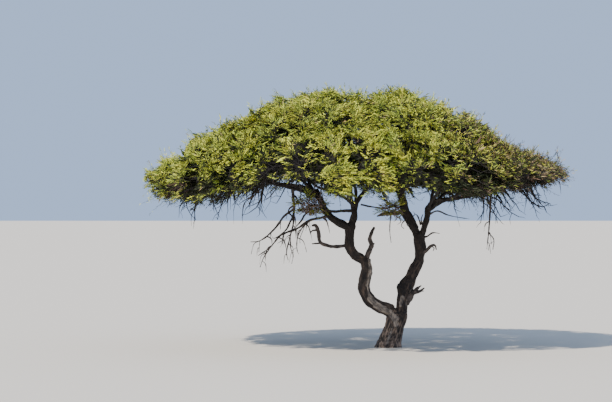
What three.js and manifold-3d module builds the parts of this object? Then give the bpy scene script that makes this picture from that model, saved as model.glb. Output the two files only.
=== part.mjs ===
// A spreading umbrella-shaped acacia tree that forks low into two winding limbs.
// Millimetres, +Z up. The origin is on the flat cut at ground level, under the trunk.
// The usual viewing side is -Y, with +X to the right.

import * as THREE from "three";
import { mergeVertices } from "three/addons/utils/BufferGeometryUtils.js";
import Module from "manifold-3d";

const wasm = await Module();
wasm.setup();

// Driving dimensions
const crown = {
  middleX: -1100, // the crown's highest part is to the left of the foot of the trunk
  reachLeft: 5060, // from its middle to the furthest tips, on each side
  reachRight: 5620,
  reachDeep: 4400,
  rimZ: 4330, // height of the dome's surface at its rim
  topZ: 6520, // height of the top
  fullness: 2.2, // power of the dome's curve: 2 is a parabola, and more gives fuller shoulders
};
const fitGap = 0.3; // clear distance between pieces that meet
const smallest = 0.15; // detail finer than this is smoothed away after cuts
const leafClear = 18; // clear distance between leaves or twigs and the limbs
const cellClear = 12; // half the least distance between two masses

const point = (x, y, z) => new THREE.Vector3(x, y, z);
const up = point(0, 0, 1);

const trunkFoot = {
  sides: 15,
  rings: 8,
  footPower: 5, // how fast the flares die away upwards
  toe: 0.34, // the longest root flare, on the left, as a share of the radius
  flares: 0.1, // the five round the foot
  waves: 0.04, // three shallow waves that turn as they climb
  flatter: 0.3, // how much thinner it gets from front to back, up to the fork
};
// Sides of a limb's section, and the length between its rings.
const limbRings = { mainSides: 8, mainPitch: 270, deadPitch: 240, hangingSides: 3, hangingPitch: 280 };

// Limbs. A route is a list of [x, y, z, radius]; the first point lies inside the limb that carries it.

const trunkRoute = [
  [0, 0, 0, 300],
  [25, 0, 150, 272],
  [85, 0, 330, 254],
  [150, 0, 540, 240],
  [205, 0, 740, 262],
  [232, 0, 860, 232],
  [236, 0, 920, 150],
];
const mainLimbs = {
  limb_left_lower: {
    from: ["trunk"],
    route: [
      [185, 0, 770, 152],
      [-30, -10, 925, 162],
      [-265, -40, 1025, 154],
      [-505, -70, 1215, 152],
      [-636, -80, 1500, 158],
      [-597, -60, 1740, 152],
      [-550, -40, 1990, 138],
      [-600, -30, 2170, 128],
    ],
  },
  limb_left_upper: {
    from: ["limb_left_lower"],
    route: [
      [-585, -32, 2120, 108],
      [-700, -30, 2215, 122],
      [-850, -40, 2290, 117],
      [-965, -60, 2450, 114],
      [-993, -90, 2690, 114],
      [-982, -110, 2910, 122],
      [-970, -115, 3040, 116],
    ],
  },
  limb_right_lower: {
    from: ["trunk", "limb_left_lower"],
    route: [
      [285, 10, 760, 150],
      [335, 20, 1080, 150],
      [362, 30, 1380, 172],
      [404, 40, 1500, 192],
      [528, 50, 1720, 148],
      [640, 55, 1950, 143],
      [755, 50, 2220, 132],
      [785, 40, 2460, 136],
      [765, 30, 2690, 146],
      [752, 26, 2790, 128],
    ],
  },
  fork_left: {
    from: ["limb_left_upper"],
    route: [
      [-980, -112, 2975, 84],
      [-1190, -140, 3080, 92],
      [-1400, -150, 3200, 86],
      [-1560, -110, 3370, 82],
      [-1735, -20, 3700, 78],
      [-1835, 40, 3930, 70],
    ],
  },
  fork_middle: {
    from: ["limb_left_upper", "fork_left"],
    route: [
      [-965, -113, 2985, 84],
      [-890, -80, 3200, 92],
      [-862, -40, 3400, 84],
      [-880, -10, 3560, 66],
    ],
  },
  fork_centre: {
    from: ["limb_right_lower"],
    route: [
      [745, 28, 2740, 96],
      [640, 40, 2930, 104],
      [515, 60, 3180, 116],
      [395, 70, 3400, 118],
      [345, 60, 3650, 98],
      [260, 40, 3880, 80],
    ],
  },
  fork_right: {
    from: ["limb_right_lower", "fork_centre"],
    route: [
      [770, 22, 2720, 74],
      [868, -10, 2930, 82],
      [945, -40, 3200, 78],
      [975, -55, 3440, 76],
      [1050, -60, 3580, 72],
    ],
  },
};

// Dead wood: short broken limbs and thin hanging twigs, fused where they fork.
const deadWood = {
  snag_left: {
    from: ["limb_left_lower", "limb_left_upper"],
    sides: 6,
    routes: [
      [
        [-575, -35, 2190, 50],
        [-530, -60, 2330, 56],
        [-478, -70, 2460, 46],
        [-440, -75, 2560, 44],
        [-487, -78, 2685, 42],
        [-452, -84, 2830, 37],
        [-372, -95, 2990, 24],
      ],
      [
        [-450, -74, 2545, 28],
        [-372, -72, 2590, 14],
      ],
    ],
  },
  hook_left: {
    from: ["limb_left_upper"],
    sides: 5,
    routes: [
      [
        [-985, -78, 2560, 32],
        [-1150, -130, 2530, 30],
        [-1350, -190, 2500, 30],
        [-1560, -240, 2535, 29],
        [-1735, -280, 2620, 30],
        [-1760, -290, 2800, 32],
        [-1785, -295, 2960, 29],
        [-1850, -300, 3045, 22],
        [-1920, -305, 3035, 14],
      ],
      [
        [-1700, -270, 2600, 20],
        [-1925, -320, 2585, 8],
      ],
      [
        [-1790, -294, 2925, 14],
        [-1930, -290, 2915, 9],
        [-1960, -285, 2870, 6],
      ],
    ],
  },
  stub_right: {
    from: ["limb_right_lower", "trunk"],
    sides: 6,
    routes: [
      [
        [430, 10, 1100, 70],
        [545, -40, 1290, 76],
        [690, -80, 1420, 62],
        [800, -95, 1520, 28],
      ],
      [
        [680, -78, 1400, 44],
        [780, -60, 1440, 34],
        [885, -50, 1540, 18],
      ],
    ],
  },
  stub_hook: {
    from: ["limb_right_lower"],
    sides: 4,
    routes: [
      [
        [800, 20, 2350, 34],
        [925, -60, 2410, 24],
        [1025, -90, 2515, 17],
        [1135, -100, 2540, 13],
        [1165, -105, 2450, 6],
      ],
    ],
  },
  stub_middle: {
    from: ["fork_centre"],
    sides: 5,
    routes: [
      [
        [400, 60, 3390, 36],
        [210, -60, 3340, 34],
        [-40, -170, 3340, 32],
        [-190, -210, 3310, 26],
        [-310, -230, 3270, 9],
      ],
      [
        [40, -140, 3340, 14],
        [10, -150, 2930, 9],
        [45, -150, 2610, 5],
      ],
    ],
  },
};

// Thin dead boughs with twigs that hang from them by the loop below.
const hangingWood = {
  dead_bough_left: {
    from: ["fork_left"],
    spread: 300,
    routes: [
      [
        [-1490, -130, 3280, 26],
        [-1680, -260, 3235, 22],
        [-2000, -380, 3160, 20],
        [-2300, -430, 2960, 17],
        [-2700, -470, 2800, 15],
        [-2960, -480, 2500, 12],
        [-3250, -490, 2300, 7],
      ],
      [
        [-2930, -478, 2540, 10],
        [-3140, -440, 2210, 8],
        [-3210, -430, 2010, 5],
      ],
      [
        [-2060, -392, 3130, 13],
        [-2270, -350, 2800, 10],
        [-2300, -350, 2450, 8],
        [-2260, -350, 2330, 5],
      ],
    ],
  },
  dead_bough_hanging: {
    from: ["bough_rim_left"],
    spread: 260,
    routes: [
      [
        [-2410, -30, 4030, 24],
        [-2395, -60, 3680, 25],
        [-2370, -80, 3480, 22],
        [-2620, -110, 3270, 17],
        [-2880, -130, 2930, 14],
        [-3240, -150, 2650, 11],
        [-3460, -160, 2630, 6],
      ],
      [
        [-2372, -78, 3500, 17],
        [-2390, -110, 3100, 14],
        [-2480, -120, 2720, 11],
        [-2560, -120, 2360, 9],
        [-2520, -120, 2170, 5],
      ],
      [
        [-3225, -150, 2660, 8],
        [-3250, -150, 2380, 5],
      ],
    ],
  },
  dead_bough_right: {
    from: ["bough_rim_right"],
    spread: 240,
    routes: [
      [
        [2540, -70, 3885, 20],
        [2510, -75, 3240, 14],
        [2480, -75, 2830, 11],
        [2435, -80, 2450, 6],
      ],
      [
        [2484, -75, 2850, 9],
        [2610, -70, 2690, 8],
        [2590, -70, 2440, 5],
      ],
    ],
  },
};

// Masses of foliage, in three tiers on the dome, and two low clumps on short boughs.
// A mass leans on the dome: its local axes run outwards, round and up.
const tiers = {
  rim: {
    share: 0.82, // distance from the crown's middle, as a share of the reach
    outward: 0.18, // half size outwards, as a share of the reach
    round: 1560,
    deep: 640,
    lowest: -0.8, // where its shell of foliage ends below, as a share of its depth
    targets: 8,
    carriers: {
      right: {
        angle: 0,
        from: "fork_right",
        dip: -60,
        lowest: -0.35,
        via: [
          [1180, -65, 3655],
          [1510, -60, 3690],
          [2090, -60, 3790],
          [2560, -70, 3900],
        ],
      },
      back_right: { angle: 36, from: "fork_right", dip: 30 },
      back_right_middle: { angle: 73, from: "fork_centre", dip: 20 },
      back_left_middle: { angle: 109, from: "fork_middle", dip: 50 },
      back_left: { angle: 144, from: "fork_left", dip: 50 },
      left: {
        angle: 180,
        from: "fork_left",
        dip: 190,
        lowest: -0.55,
        via: [
          [-2130, 0, 3985],
          [-2440, -30, 4040],
          [-2990, -40, 4110],
        ],
      },
      front_left: { angle: 219, from: "fork_left", dip: 60 },
      front_left_middle: { angle: 262, from: "fork_middle", dip: 90 },
      front_right_middle: { angle: 300, from: "fork_right", dip: 20 },
      front_right: { angle: 331, from: "fork_right", dip: 60 },
    },
  },
  mid: {
    share: 0.5,
    outward: 0.19,
    round: 1380,
    deep: 560,
    lowest: -0.5,
    targets: 7,
    carriers: {
      right: { angle: 15, from: "fork_right", dip: 60 },
      back: { angle: 78, from: "fork_centre", dip: 10 },
      back_left: { angle: 138, from: "fork_left", dip: 30 },
      left: { angle: 196, from: "fork_left", dip: 130 },
      front: { angle: 250, from: "fork_middle", dip: 50 },
      front_right: { angle: 311, from: "fork_centre", dip: 30 },
    },
  },
  top: {
    share: 0.2,
    outward: 0.18,
    round: 960,
    deep: 480,
    lowest: -0.3,
    targets: 6,
    carriers: {
      right: { angle: 0, from: "fork_centre", dip: 20 },
      back: { angle: 90, from: "fork_centre", dip: 60 },
      left: { angle: 180, from: "fork_middle", dip: 0 },
      front: { angle: 270, from: "fork_middle", dip: 90 },
    },
  },
};
const clumps = {
  clump_left: {
    centre: [-1960, -330, 3560],
    size: [360, 260, 230],
    from: "fork_middle",
    start: [-868, -40, 3420],
    via: [
      [-1180, -220, 3395],
      [-1500, -330, 3410],
    ],
    radius: 30,
  },
  clump_middle: {
    centre: [40, -420, 3480],
    size: [300, 240, 260],
    from: "fork_centre",
    start: [370, 60, 3500],
    via: [[300, -120, 3500]],
    radius: 34,
  },
};
const clumpGrowth = { targets: 5, lowest: -0.7, leafSize: 0.6 }; // its leaves beside the crown's
const tierLean = 0.75; // how far a mass leans with the slope of the dome
const bough = {
  radius: 64, // where it leaves its limb
  tip: 26, // where the mass takes over
  stop: 0.62, // how far short of the mass's middle it ends, as a share of the mass's outward size
  climb: 0.42, // how early it climbs: 0 runs out level first, 1 goes straight
  wander: 0.03, // sideways waves, as a share of its length
  waves: 9, // how fast they turn along it, in radians
  flatten: 0.6, // how much of its rise shows in the way it enters its mass
  first: 1.02, // where on its limb the first one starts, as a share of the limb's length
  step: 0.06, // how much further back each next one starts
  sides: 5,
  pitch: 520, // length between its rings
};
const cellStretch = 2.2; // walls between masses lie flatter than halfway planes by this much
const shell = {
  highest: 0.95, // top of a mass's shell of foliage, as a share of its depth
  inner: 0.5, // its inside and outside, as shares of the half size
  outer: 0.8,
  depth: 0.85,
  tries: 200,
};
const twig = { sides: 3, fork: 0.5, taper: 0.74, side: 0.8, tip: 0.6, least: 14 };
const leaf = {
  length: 940,
  width: 440,
  thick: 14,
  widest: 0.45, // where it is widest, as a share of its length
  roll: 1.1, // how far it turns about its own length, either way
  swing: 0.5, // how far it turns aside at each try
  droop: 0.06, // how much lower it points at each try
  shrink: 0.05, // how much smaller it gets at each try
  tries: 9,
  gap: 10, // clear distance between leaves of one mass
  neck: 3, // where a leaf counts from for that, in least twig radii
  sunk: 0.3, // how deep a side leaf starts inside its twig, in the same measure
  biggest: 1.05, // its size, which differs from leaf to leaf
  differ: 0.2,
  outwards: 0.4, // how far a last leaf turns away from the mass's middle
  beside: 2, // side leaves on a last twig
  first: 0.9, // where they stand along it
  spacing: 0.6,
  ahead: 0.6, // how far they point along the twig and to its side
  aside: 0.8,
};
const hangingTwig = {
  pitch: 520, // length of dead wood to each
  side: 0.55, // which way they hang: across, to front and back, and down
  deep: 0.8,
  down: 0.75,
  thick: 0.7, // their radius beside the dead wood's
  tip: 4,
};
const ballPitch = 60; // distance between the balls that stand for a limb where leaves keep clear of it
const scrapShare = 0.12; // a loose piece over this share of a cut solid is no scrap

// Solids

// A closed geometry as a solid that manifold-3d can join and cut. Faces that come to a point lose a corner.
function solidOf(geometry) {
  const merged = mergeVertices(geometry, 1e-3);
  const corners = merged.index.array;
  const faces = [];
  for (let i = 0; i < corners.length; i += 3) {
    const [a, b, c] = corners.slice(i, i + 3);
    if (a !== b && b !== c && c !== a) faces.push(a, b, c);
  }
  return new wasm.Manifold(
    new wasm.Mesh({
      numProp: 3,
      vertProperties: new Float32Array(merged.attributes.position.array),
      triVerts: new Uint32Array(faces),
    }),
  );
}

// A closed tube through rings. Each ring is a middle and the two half-axes of its section.
function sweep(rings, sides) {
  const corners = rings.flatMap(({ middle, wide, thick }) =>
    Array.from({ length: sides }, (_, side) => {
      const angle = (2 * Math.PI * side) / sides;
      return middle.clone().addScaledVector(wide, Math.cos(angle)).addScaledVector(thick, Math.sin(angle));
    }),
  );
  const faces = [];
  for (let start = 0; start < corners.length - sides; start += sides) {
    for (let side = 0; side < sides; side++) {
      const [a, b] = [start + side, start + ((side + 1) % sides)];
      faces.push(a, b, a + sides, b, b + sides, a + sides);
    }
  }
  const last = corners.length - sides;
  for (let side = 1; side < sides - 1; side++) {
    faces.push(0, side + 1, side, last, last + side, last + side + 1);
  }
  return solidOf(new THREE.BufferGeometry().setFromPoints(corners).setIndex(faces));
}

function geometryOf(solid) {
  const mesh = solid.getMesh();
  const geometry = new THREE.BufferGeometry();
  geometry.setAttribute("position", new THREE.BufferAttribute(mesh.vertProperties, 3));
  geometry.setIndex(new THREE.BufferAttribute(mesh.triVerts, 1));
  return geometry;
}

// The largest body of a solid: the scraps that a cut leaves are dropped, and a cut right through is an error.
function largest(solid, name) {
  const bodies = solid.decompose().sort((a, b) => b.volume() - a.volume());
  const rest = bodies.slice(1).reduce((sum, body) => sum + body.volume(), 0);
  if (rest > scrapShare * bodies[0].volume()) console.warn(`${name} is cut in two`);
  return bodies[0];
}

// A limb's centreline and radius at a share of its length.
class Centreline {
  constructor(route) {
    this.curve = new THREE.CatmullRomCurve3(
      route.map(([x, y, z]) => point(x, y, z)),
      false,
      "centripetal",
    );
    this.radii = route.map((stop) => stop[3]);
    this.length = this.curve.getLength();
  }
  at(share) {
    const t = this.curve.getUtoTmapping(share) * (this.radii.length - 1);
    const stop = Math.min(Math.floor(t), this.radii.length - 2);
    return {
      place: this.curve.getPointAt(share),
      radius: THREE.MathUtils.lerp(this.radii[stop], this.radii[stop + 1], t - stop),
    };
  }
}

// A tapered tube along a centreline, grown by `extra` all over.
function tube(line, sides, count, extra) {
  const frames = line.curve.computeFrenetFrames(count, false);
  const outwards = extra / Math.cos(Math.PI / sides);
  const rings = frames.tangents.map((tangent, i) => {
    const { place, radius } = line.at(i / count);
    const end = i === 0 ? -extra : i === count ? extra : 0;
    return {
      middle: place.addScaledVector(tangent, end),
      wide: frames.normals[i].clone().multiplyScalar(radius + outwards),
      thick: frames.binormals[i].clone().multiplyScalar(radius + outwards),
    };
  });
  return sweep(rings, sides);
}

// The trunk stands on a level cut, so its rings are level, and its foot spreads into root flares.
function trunkSolid(extra) {
  const line = new Centreline(trunkRoute);
  const geometry = new THREE.CylinderGeometry(1, 1, 1, trunkFoot.sides, trunkFoot.rings);
  const position = geometry.attributes.position;
  for (let i = 0; i < position.count; i++) {
    const share = position.getY(i) + 0.5;
    const { place, radius } = line.at(share);
    const angle = Math.atan2(-position.getZ(i), position.getX(i));
    const spread = Math.hypot(position.getX(i), position.getZ(i));
    const foot = Math.pow(1 - share, trunkFoot.footPower);
    const toe = trunkFoot.toe * foot * Math.max(0, Math.cos(angle - Math.PI)) ** 3;
    const flares = trunkFoot.flares * foot * Math.cos(5 * angle + 0.6);
    const flare = 1 + toe + flares + trunkFoot.waves * Math.cos(3 * angle + 4 * share);
    const r = spread * (radius * flare + extra);
    const level = share === 1 ? extra : 0;
    const narrow = 1 - trunkFoot.flatter * share ** 2;
    const [across, deep] = [r * Math.cos(angle), narrow * r * Math.sin(angle)];
    position.setXYZ(i, place.x + across, place.y + deep, place.z + level);
  }
  geometry.deleteAttribute("normal");
  geometry.deleteAttribute("uv");
  return solidOf(geometry);
}

// The limbs made so far. Each keeps its grown solid, which cuts its neighbours clear,
// and balls along its lines, which leaves keep clear of.
const limbs = new Map();

function keepLimb(name, solid, grown, lines) {
  const balls = lines.flatMap((line) => {
    const count = Math.ceil(line.length / ballPitch);
    return Array.from({ length: count + 1 }, (_, i) => line.at(i / count));
  });
  limbs.set(name, { solid, grown, balls, line: lines[0] });
}

function addLimb(name, routes, neighbours, sides, pitch) {
  const lines = routes.map((route) => new Centreline(route));
  const build = (extra) =>
    lines
      .map((line) => tube(line, sides, Math.max(1, Math.round(line.length / pitch)), extra))
      .reduce((all, next) => all.add(next));
  const clear = neighbours.reduce((left, other) => left.subtract(limbs.get(other).grown), build(0));
  keepLimb(name, largest(clear.simplify(smallest), name), build(fitGap), lines);
}

keepLimb("trunk", trunkSolid(0), trunkSolid(fitGap), [new Centreline(trunkRoute)]);
for (const [name, { from, route }] of Object.entries(mainLimbs)) {
  addLimb(name, [route], from, limbRings.mainSides, limbRings.mainPitch);
}

// Masses: where each one is

const crownReach = (cosine, sine) =>
  point(cosine * (cosine > 0 ? crown.reachRight : crown.reachLeft), sine * crown.reachDeep, 0);

// How far out a place is on the dome's plan: 0 in the middle, 1 on the rim.
function outShare({ x, y }) {
  const across = x - crown.middleX;
  return Math.hypot(across / (across > 0 ? crown.reachRight : crown.reachLeft), y / crown.reachDeep);
}
const domeZ = (place) =>
  crown.rimZ + (crown.topZ - crown.rimZ) * (1 - Math.min(outShare(place), 1) ** crown.fullness);

function tierMass(tierName, tier, place, carrier) {
  const angle = THREE.MathUtils.degToRad(carrier.angle);
  const toRim = crownReach(Math.cos(angle), Math.sin(angle));
  const reach = toRim.length();
  const centre = point(crown.middleX, 0, 0).addScaledVector(toRim, tier.share);
  centre.z = domeZ(centre) - tier.deep - carrier.dip;
  const outwards = toRim.divideScalar(reach);
  const slope = (crown.fullness * tier.share ** (crown.fullness - 1) * (crown.topZ - crown.rimZ)) / reach;
  return {
    name: `${tierName}_${place}`,
    centre,
    size: [tier.outward * reach, tier.round, tier.deep],
    axes: [point(outwards.x, outwards.y, -tierLean * slope), point(-outwards.y, outwards.x, 0), up],
    lowest: carrier.lowest ?? tier.lowest,
    targets: tier.targets,
    leafSize: 1,
    carrier,
  };
}

function clumpMass(name, clump) {
  return {
    name,
    centre: point(...clump.centre),
    size: clump.size,
    axes: [point(1, 0, 0), point(0, 1, 0), up],
    lowest: clumpGrowth.lowest,
    targets: clumpGrowth.targets,
    leafSize: clumpGrowth.leafSize,
    carrier: clump,
  };
}

const masses = [
  ...Object.entries(tiers).flatMap(([tierName, tier]) =>
    Object.entries(tier.carriers).map(([place, carrier]) => tierMass(tierName, tier, place, carrier)),
  ),
  ...Object.entries(clumps).map(([name, clump]) => clumpMass(name, clump)),
];

// A wall between two masses, facing the first, nearer to the smaller one. Each mass keeps inside its walls.
function wallBetween(mass, other) {
  const across = mass.centre.clone().sub(other.centre);
  const along = other.size[0] / (other.size[0] + mass.size[0]);
  const through = other.centre.clone().addScaledVector(across, along);
  const facing = across.multiply(point(1, 1, cellStretch)).normalize();
  return new THREE.Plane().setFromNormalAndCoplanarPoint(facing, through);
}
for (const mass of masses) {
  mass.walls = masses.filter((other) => other !== mass).map((other) => wallBetween(mass, other));
}
function inOwnSpace(mass, place, room = cellClear) {
  if (outShare(place) > 1 || place.z > domeZ(place)) return false;
  return mass.walls.every((wall) => wall.distanceToPoint(place) > room);
}

// Boughs: one to each mass, from the tip end of its limb, by the same rule for all

const carried = {}; // how many boughs each limb carries so far
function boughRoute(mass) {
  const { from, via = [], start, radius = bough.radius } = mass.carrier;
  carried[from] = (carried[from] ?? 0) + 1;
  const onLimb = bough.first - bough.step * carried[from];
  const root = start ? point(...start) : limbs.get(from).line.at(onLimb).place;
  const inward = point(...(via.at(-1) ?? root.toArray())).sub(mass.centre);
  inward.z *= bough.flatten;
  const end = mass.centre.clone().addScaledVector(inward.normalize(), bough.stop * mass.size[0]);
  const stops = [root, ...via.map((stop) => point(...stop)), end];
  if (!via.length) {
    const across = end.clone().sub(root);
    const sideways = point(-across.y, across.x, 0).setLength(bough.wander * across.length());
    const between = [0.2, 0.4, 0.6, 0.8].map((along) => {
      const stop = root.clone().addScaledVector(across, along);
      stop.z = root.z + across.z * THREE.MathUtils.lerp(along ** 1.6, along ** 0.8, bough.climb);
      return stop.addScaledVector(sideways, Math.sin(bough.waves * along + mass.carrier.angle));
    });
    stops.splice(1, 0, ...between);
  }
  return stops.map((stop, i) => {
    const along = i / (stops.length - 1);
    return [...stop.toArray(), THREE.MathUtils.lerp(radius, bough.tip, along ** 0.8)];
  });
}

for (const mass of masses) {
  mass.bough = `bough_${mass.name}`;
  const near = [...limbs.keys()].filter((name) => /^(fork|bough)/.test(name));
  addLimb(mass.bough, [boughRoute(mass)], near, bough.sides, bough.pitch);
}
for (const [name, { from, sides, routes }] of Object.entries(deadWood)) {
  addLimb(name, routes, from, sides, limbRings.deadPitch);
}

// Hanging dead wood gets short twigs along its routes, each turned a golden angle from the last.
const goldenAngle = Math.PI * (3 - Math.sqrt(5));
function hangingTwigs(route, spread) {
  const line = new Centreline(route);
  const { pitch, side, deep, down, thick, tip } = hangingTwig;
  const count = Math.floor(line.length / pitch);
  return Array.from({ length: count }, (_, i) => {
    const { place, radius } = line.at((i + 0.9) / (count + 0.6));
    const turn = i * goldenAngle + route.length;
    const way = point(Math.cos(turn) * side, Math.sin(turn) * deep, -down);
    const end = place.clone().add(way.multiplyScalar(spread));
    return [
      [...place.toArray(), radius * thick],
      [...end.toArray(), tip],
    ];
  });
}
for (const [name, { from, spread, routes }] of Object.entries(hangingWood)) {
  const twigs = routes.flatMap((route) => hangingTwigs(route, spread));
  addLimb(name, [...routes, ...twigs], from, limbRings.hangingSides, limbRings.hangingPitch);
}

// Growth: twigs that fork towards their targets, and leaves along the last ones

// Shares from 0 to 1 that fill a space evenly and are the same on every run.
const spreadBase = 1.2207440846;
const share = (index, axis) => (0.5 + index / spreadBase ** (axis + 1)) % 1;

// Places in a mass's outer shell that its twigs reach for.
function targetsOf(mass, seed) {
  const places = [];
  for (let i = seed; places.length < mass.targets && i < seed + shell.tries; i++) {
    const turn = 2 * Math.PI * share(i, 0);
    const lift = THREE.MathUtils.lerp(mass.lowest, shell.highest, share(i, 1) ** 0.8);
    const out = Math.sqrt(1 - lift ** 2) * THREE.MathUtils.lerp(shell.inner, shell.outer, share(i, 2));
    const place = mass.centre.clone();
    place.addScaledVector(mass.axes[0], out * Math.cos(turn) * mass.size[0]);
    place.addScaledVector(mass.axes[1], out * Math.sin(turn) * mass.size[1]);
    place.addScaledVector(mass.axes[2], shell.depth * lift * mass.size[2]);
    if (inOwnSpace(mass, place)) places.push(place);
  }
  return places;
}

// A blade's own directions at its root: along it, across it and out of its flat face.
function bladeFrame(root, heading, roll = 0) {
  const along = heading.clone().normalize();
  const side = point().crossVectors(along, up).normalize().applyAxisAngle(along, roll);
  return { root, along, side, face: point().crossVectors(side, along) };
}

const pointRing = (middle) => ({ middle, wide: point(), thick: point() });

// The rings of a leaf beyond its root: its widest place and its tip. A leaf stands for a spray of leaflets.
function bladeRings({ root, along, side, face }, size) {
  return [
    {
      middle: root.clone().addScaledVector(along, leaf.widest * size * leaf.length),
      wide: face.clone().multiplyScalar((size * leaf.thick) / 1.5),
      thick: side.clone().multiplyScalar((size * leaf.width) / Math.sqrt(3)),
    },
    pointRing(root.clone().addScaledVector(along, size * leaf.length)),
  ];
}

function roundRing(middle, heading, radius) {
  const { side, face } = bladeFrame(middle, heading);
  return { middle, wide: face.multiplyScalar(radius), thick: side.multiplyScalar(radius) };
}

// Whether a leaf, or a twig taken as a narrow one, comes too near a limb.
function touchesLimb({ root, along, side, face }, length, width, except) {
  for (const [name, { balls }] of limbs) {
    if (name === except) continue;
    for (const { place, radius } of balls) {
      const d = place.clone().sub(root);
      const room = radius + leafClear;
      const beside = Math.abs(d.dot(face)) < room && Math.abs(d.dot(side)) < width / 2 + room;
      if (beside && d.dot(along) > -room && d.dot(along) < length + room) return true;
    }
  }
  return false;
}

// The twigs and leaves of one mass, as they grow.
class Growth {
  constructor(mass) {
    this.mass = mass;
    this.twigs = [];
    this.leaves = [];
  }

  // The rings of a leaf where it keeps to the mass's space, clear of the limbs and of the other leaves.
  // At each try it swings further aside, droops and gets smaller, and it's left out where there's no room.
  fit(root, heading, seed) {
    for (let turn = 0; turn < leaf.tries; turn++) {
      const grown = leaf.biggest - leaf.differ * share(seed, 0);
      const size = this.mass.leafSize * grown * (1 - leaf.shrink * turn);
      const swing = leaf.swing * (turn % 2 ? 1 : -1) * Math.ceil(turn / 2);
      const turned = heading.clone().normalize().applyAxisAngle(up, swing);
      turned.z -= leaf.droop * turn;
      const frame = bladeFrame(root, turned, leaf.roll * (2 * share(seed + turn, 2) - 1));
      const [widest, tip] = bladeRings(frame, size);
      const edges = [-1, 1].map((hand) => widest.middle.clone().addScaledVector(widest.thick, hand));
      if (![tip.middle, ...edges].every((place) => inOwnSpace(this.mass, place))) continue;
      if (touchesLimb(frame, size * leaf.length, size * leaf.width)) continue;
      const neck = pointRing(root.clone().addScaledVector(frame.along, leaf.neck * twig.least));
      const body = sweep([neck, widest, tip], twig.sides);
      if (this.leaves.some((other) => other.minGap(body, leaf.gap) < leaf.gap)) continue;
      this.leaves.push(body);
      return { along: frame.along, rings: [widest, tip] };
    }
    return undefined;
  }

  // Side leaves along a last twig, to left and right in turn. Each starts from a point inside the twig.
  addLeaves(start, end, seed) {
    const ahead = end.clone().sub(start).normalize();
    const sideways = point().crossVectors(up, ahead).normalize();
    for (let i = 0; i < leaf.beside; i++) {
      const root = start.clone().lerp(end, leaf.first - leaf.spacing * (i / leaf.beside));
      const aside = i % 2 ? -leaf.aside : leaf.aside;
      const heading = ahead.clone().multiplyScalar(leaf.ahead).addScaledVector(sideways, aside);
      heading.z += 0.5 * (share(seed + i, 1) - 0.4);
      const fitted = this.fit(root, heading, seed + i);
      if (!fitted) continue;
      const sunk = pointRing(root.addScaledVector(fitted.along, -leaf.sunk * twig.least));
      this.twigs.push(sweep([sunk, ...fitted.rings], twig.sides));
    }
  }

  // A chain of twigs from fork to fork out to one target, where it ends in a leaf.
  // Targets are halved where they spread most, and one half starts a chain of its own at the fork.
  grow(start, targets, radius, seed) {
    const stops = [{ place: start, radius }];
    const forks = [];
    let ahead = targets;
    for (let at = stops[0]; ahead.length; at = stops.at(-1)) {
      const last = ahead.length === 1;
      const middle = ahead.reduce((sum, place) => sum.add(place), point()).divideScalar(ahead.length);
      const place = last ? middle : at.place.clone().lerp(middle, twig.fork);
      const along = place.clone().sub(at.place);
      const except = this.twigs.length || stops.length > 1 ? undefined : this.mass.bough;
      if (touchesLimb(bladeFrame(at.place, along), along.length(), 2 * at.radius, except)) break;
      const slimmer = Math.max(at.radius * twig.taper, twig.least);
      stops.push({ place, radius: last ? twig.tip * twig.least : slimmer });
      if (last) break;
      const spread = new THREE.Box3().setFromPoints(ahead).getSize(point());
      const axis = ["x", "y", "z"].reduce((a, b) => (spread[b] > spread[a] ? b : a));
      const sorted = [...ahead].sort((a, b) => a[axis] - b[axis]);
      const half = Math.floor(sorted.length / 2);
      forks.push({ stop: stops.at(-1), targets: sorted.slice(0, half) });
      ahead = sorted.slice(half);
    }
    if (stops.length < 2) return;
    const [before, end] = stops.slice(-2);
    const heading = end.place.clone().sub(before.place);
    const outwards = end.place.clone().sub(this.mass.centre).setLength(leaf.outwards * heading.length());
    const fitted = this.fit(end.place, heading.clone().add(outwards), seed);
    const rings = stops.map((stop, i) => {
      const [past, next] = [stops[Math.max(i - 1, 0)], stops[Math.min(i + 1, stops.length - 1)]];
      return roundRing(stop.place, next.place.clone().sub(past.place), stop.radius);
    });
    this.twigs.push(sweep([...rings, ...(fitted?.rings ?? [])], twig.sides));
    this.addLeaves(before.place, end.place, seed + 5);
    for (const [i, fork] of forks.entries()) {
      this.grow(fork.stop.place, fork.targets, twig.side * fork.stop.radius, seed + 11 * (i + 1));
    }
  }
}

function massSolid(mass, seed) {
  const { line, grown } = limbs.get(mass.bough);
  const growth = new Growth(mass);
  growth.grow(line.at(1).place, targetsOf(mass, 17 * seed), bough.tip, 31 * seed);
  const joined = wasm.Manifold.union(growth.twigs).subtract(grown);
  return largest(joined.simplify(smallest), mass.name);
}

// The tree

const bark = new THREE.MeshStandardMaterial({ color: 0x3a322c, roughness: 0.95, metalness: 0 });
const deadBark = new THREE.MeshStandardMaterial({ color: 0x5a5048, roughness: 0.9, metalness: 0 });
const foliage = new THREE.MeshStandardMaterial({ color: 0x6f8230, roughness: 0.8, metalness: 0 });

const acacia = new THREE.Group();
function addNode(name, solid, material) {
  const mesh = new THREE.Mesh(geometryOf(solid), material);
  mesh.name = name;
  acacia.add(mesh);
}

const deadNames = new Set([...Object.keys(deadWood), ...Object.keys(hangingWood)]);
for (const [name, limb] of limbs) addNode(name, limb.solid, deadNames.has(name) ? deadBark : bark);
masses.forEach((mass, i) => addNode(`foliage_${mass.name}`, massSolid(mass, i + 1), foliage));

export default acacia;
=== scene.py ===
# A spreading acacia tree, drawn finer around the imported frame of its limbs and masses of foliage.
# Metres, +Z up, the front towards -Y. A route is in millimetres, as in the part's source: x, y, z, radius.

import math
from types import SimpleNamespace

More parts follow.
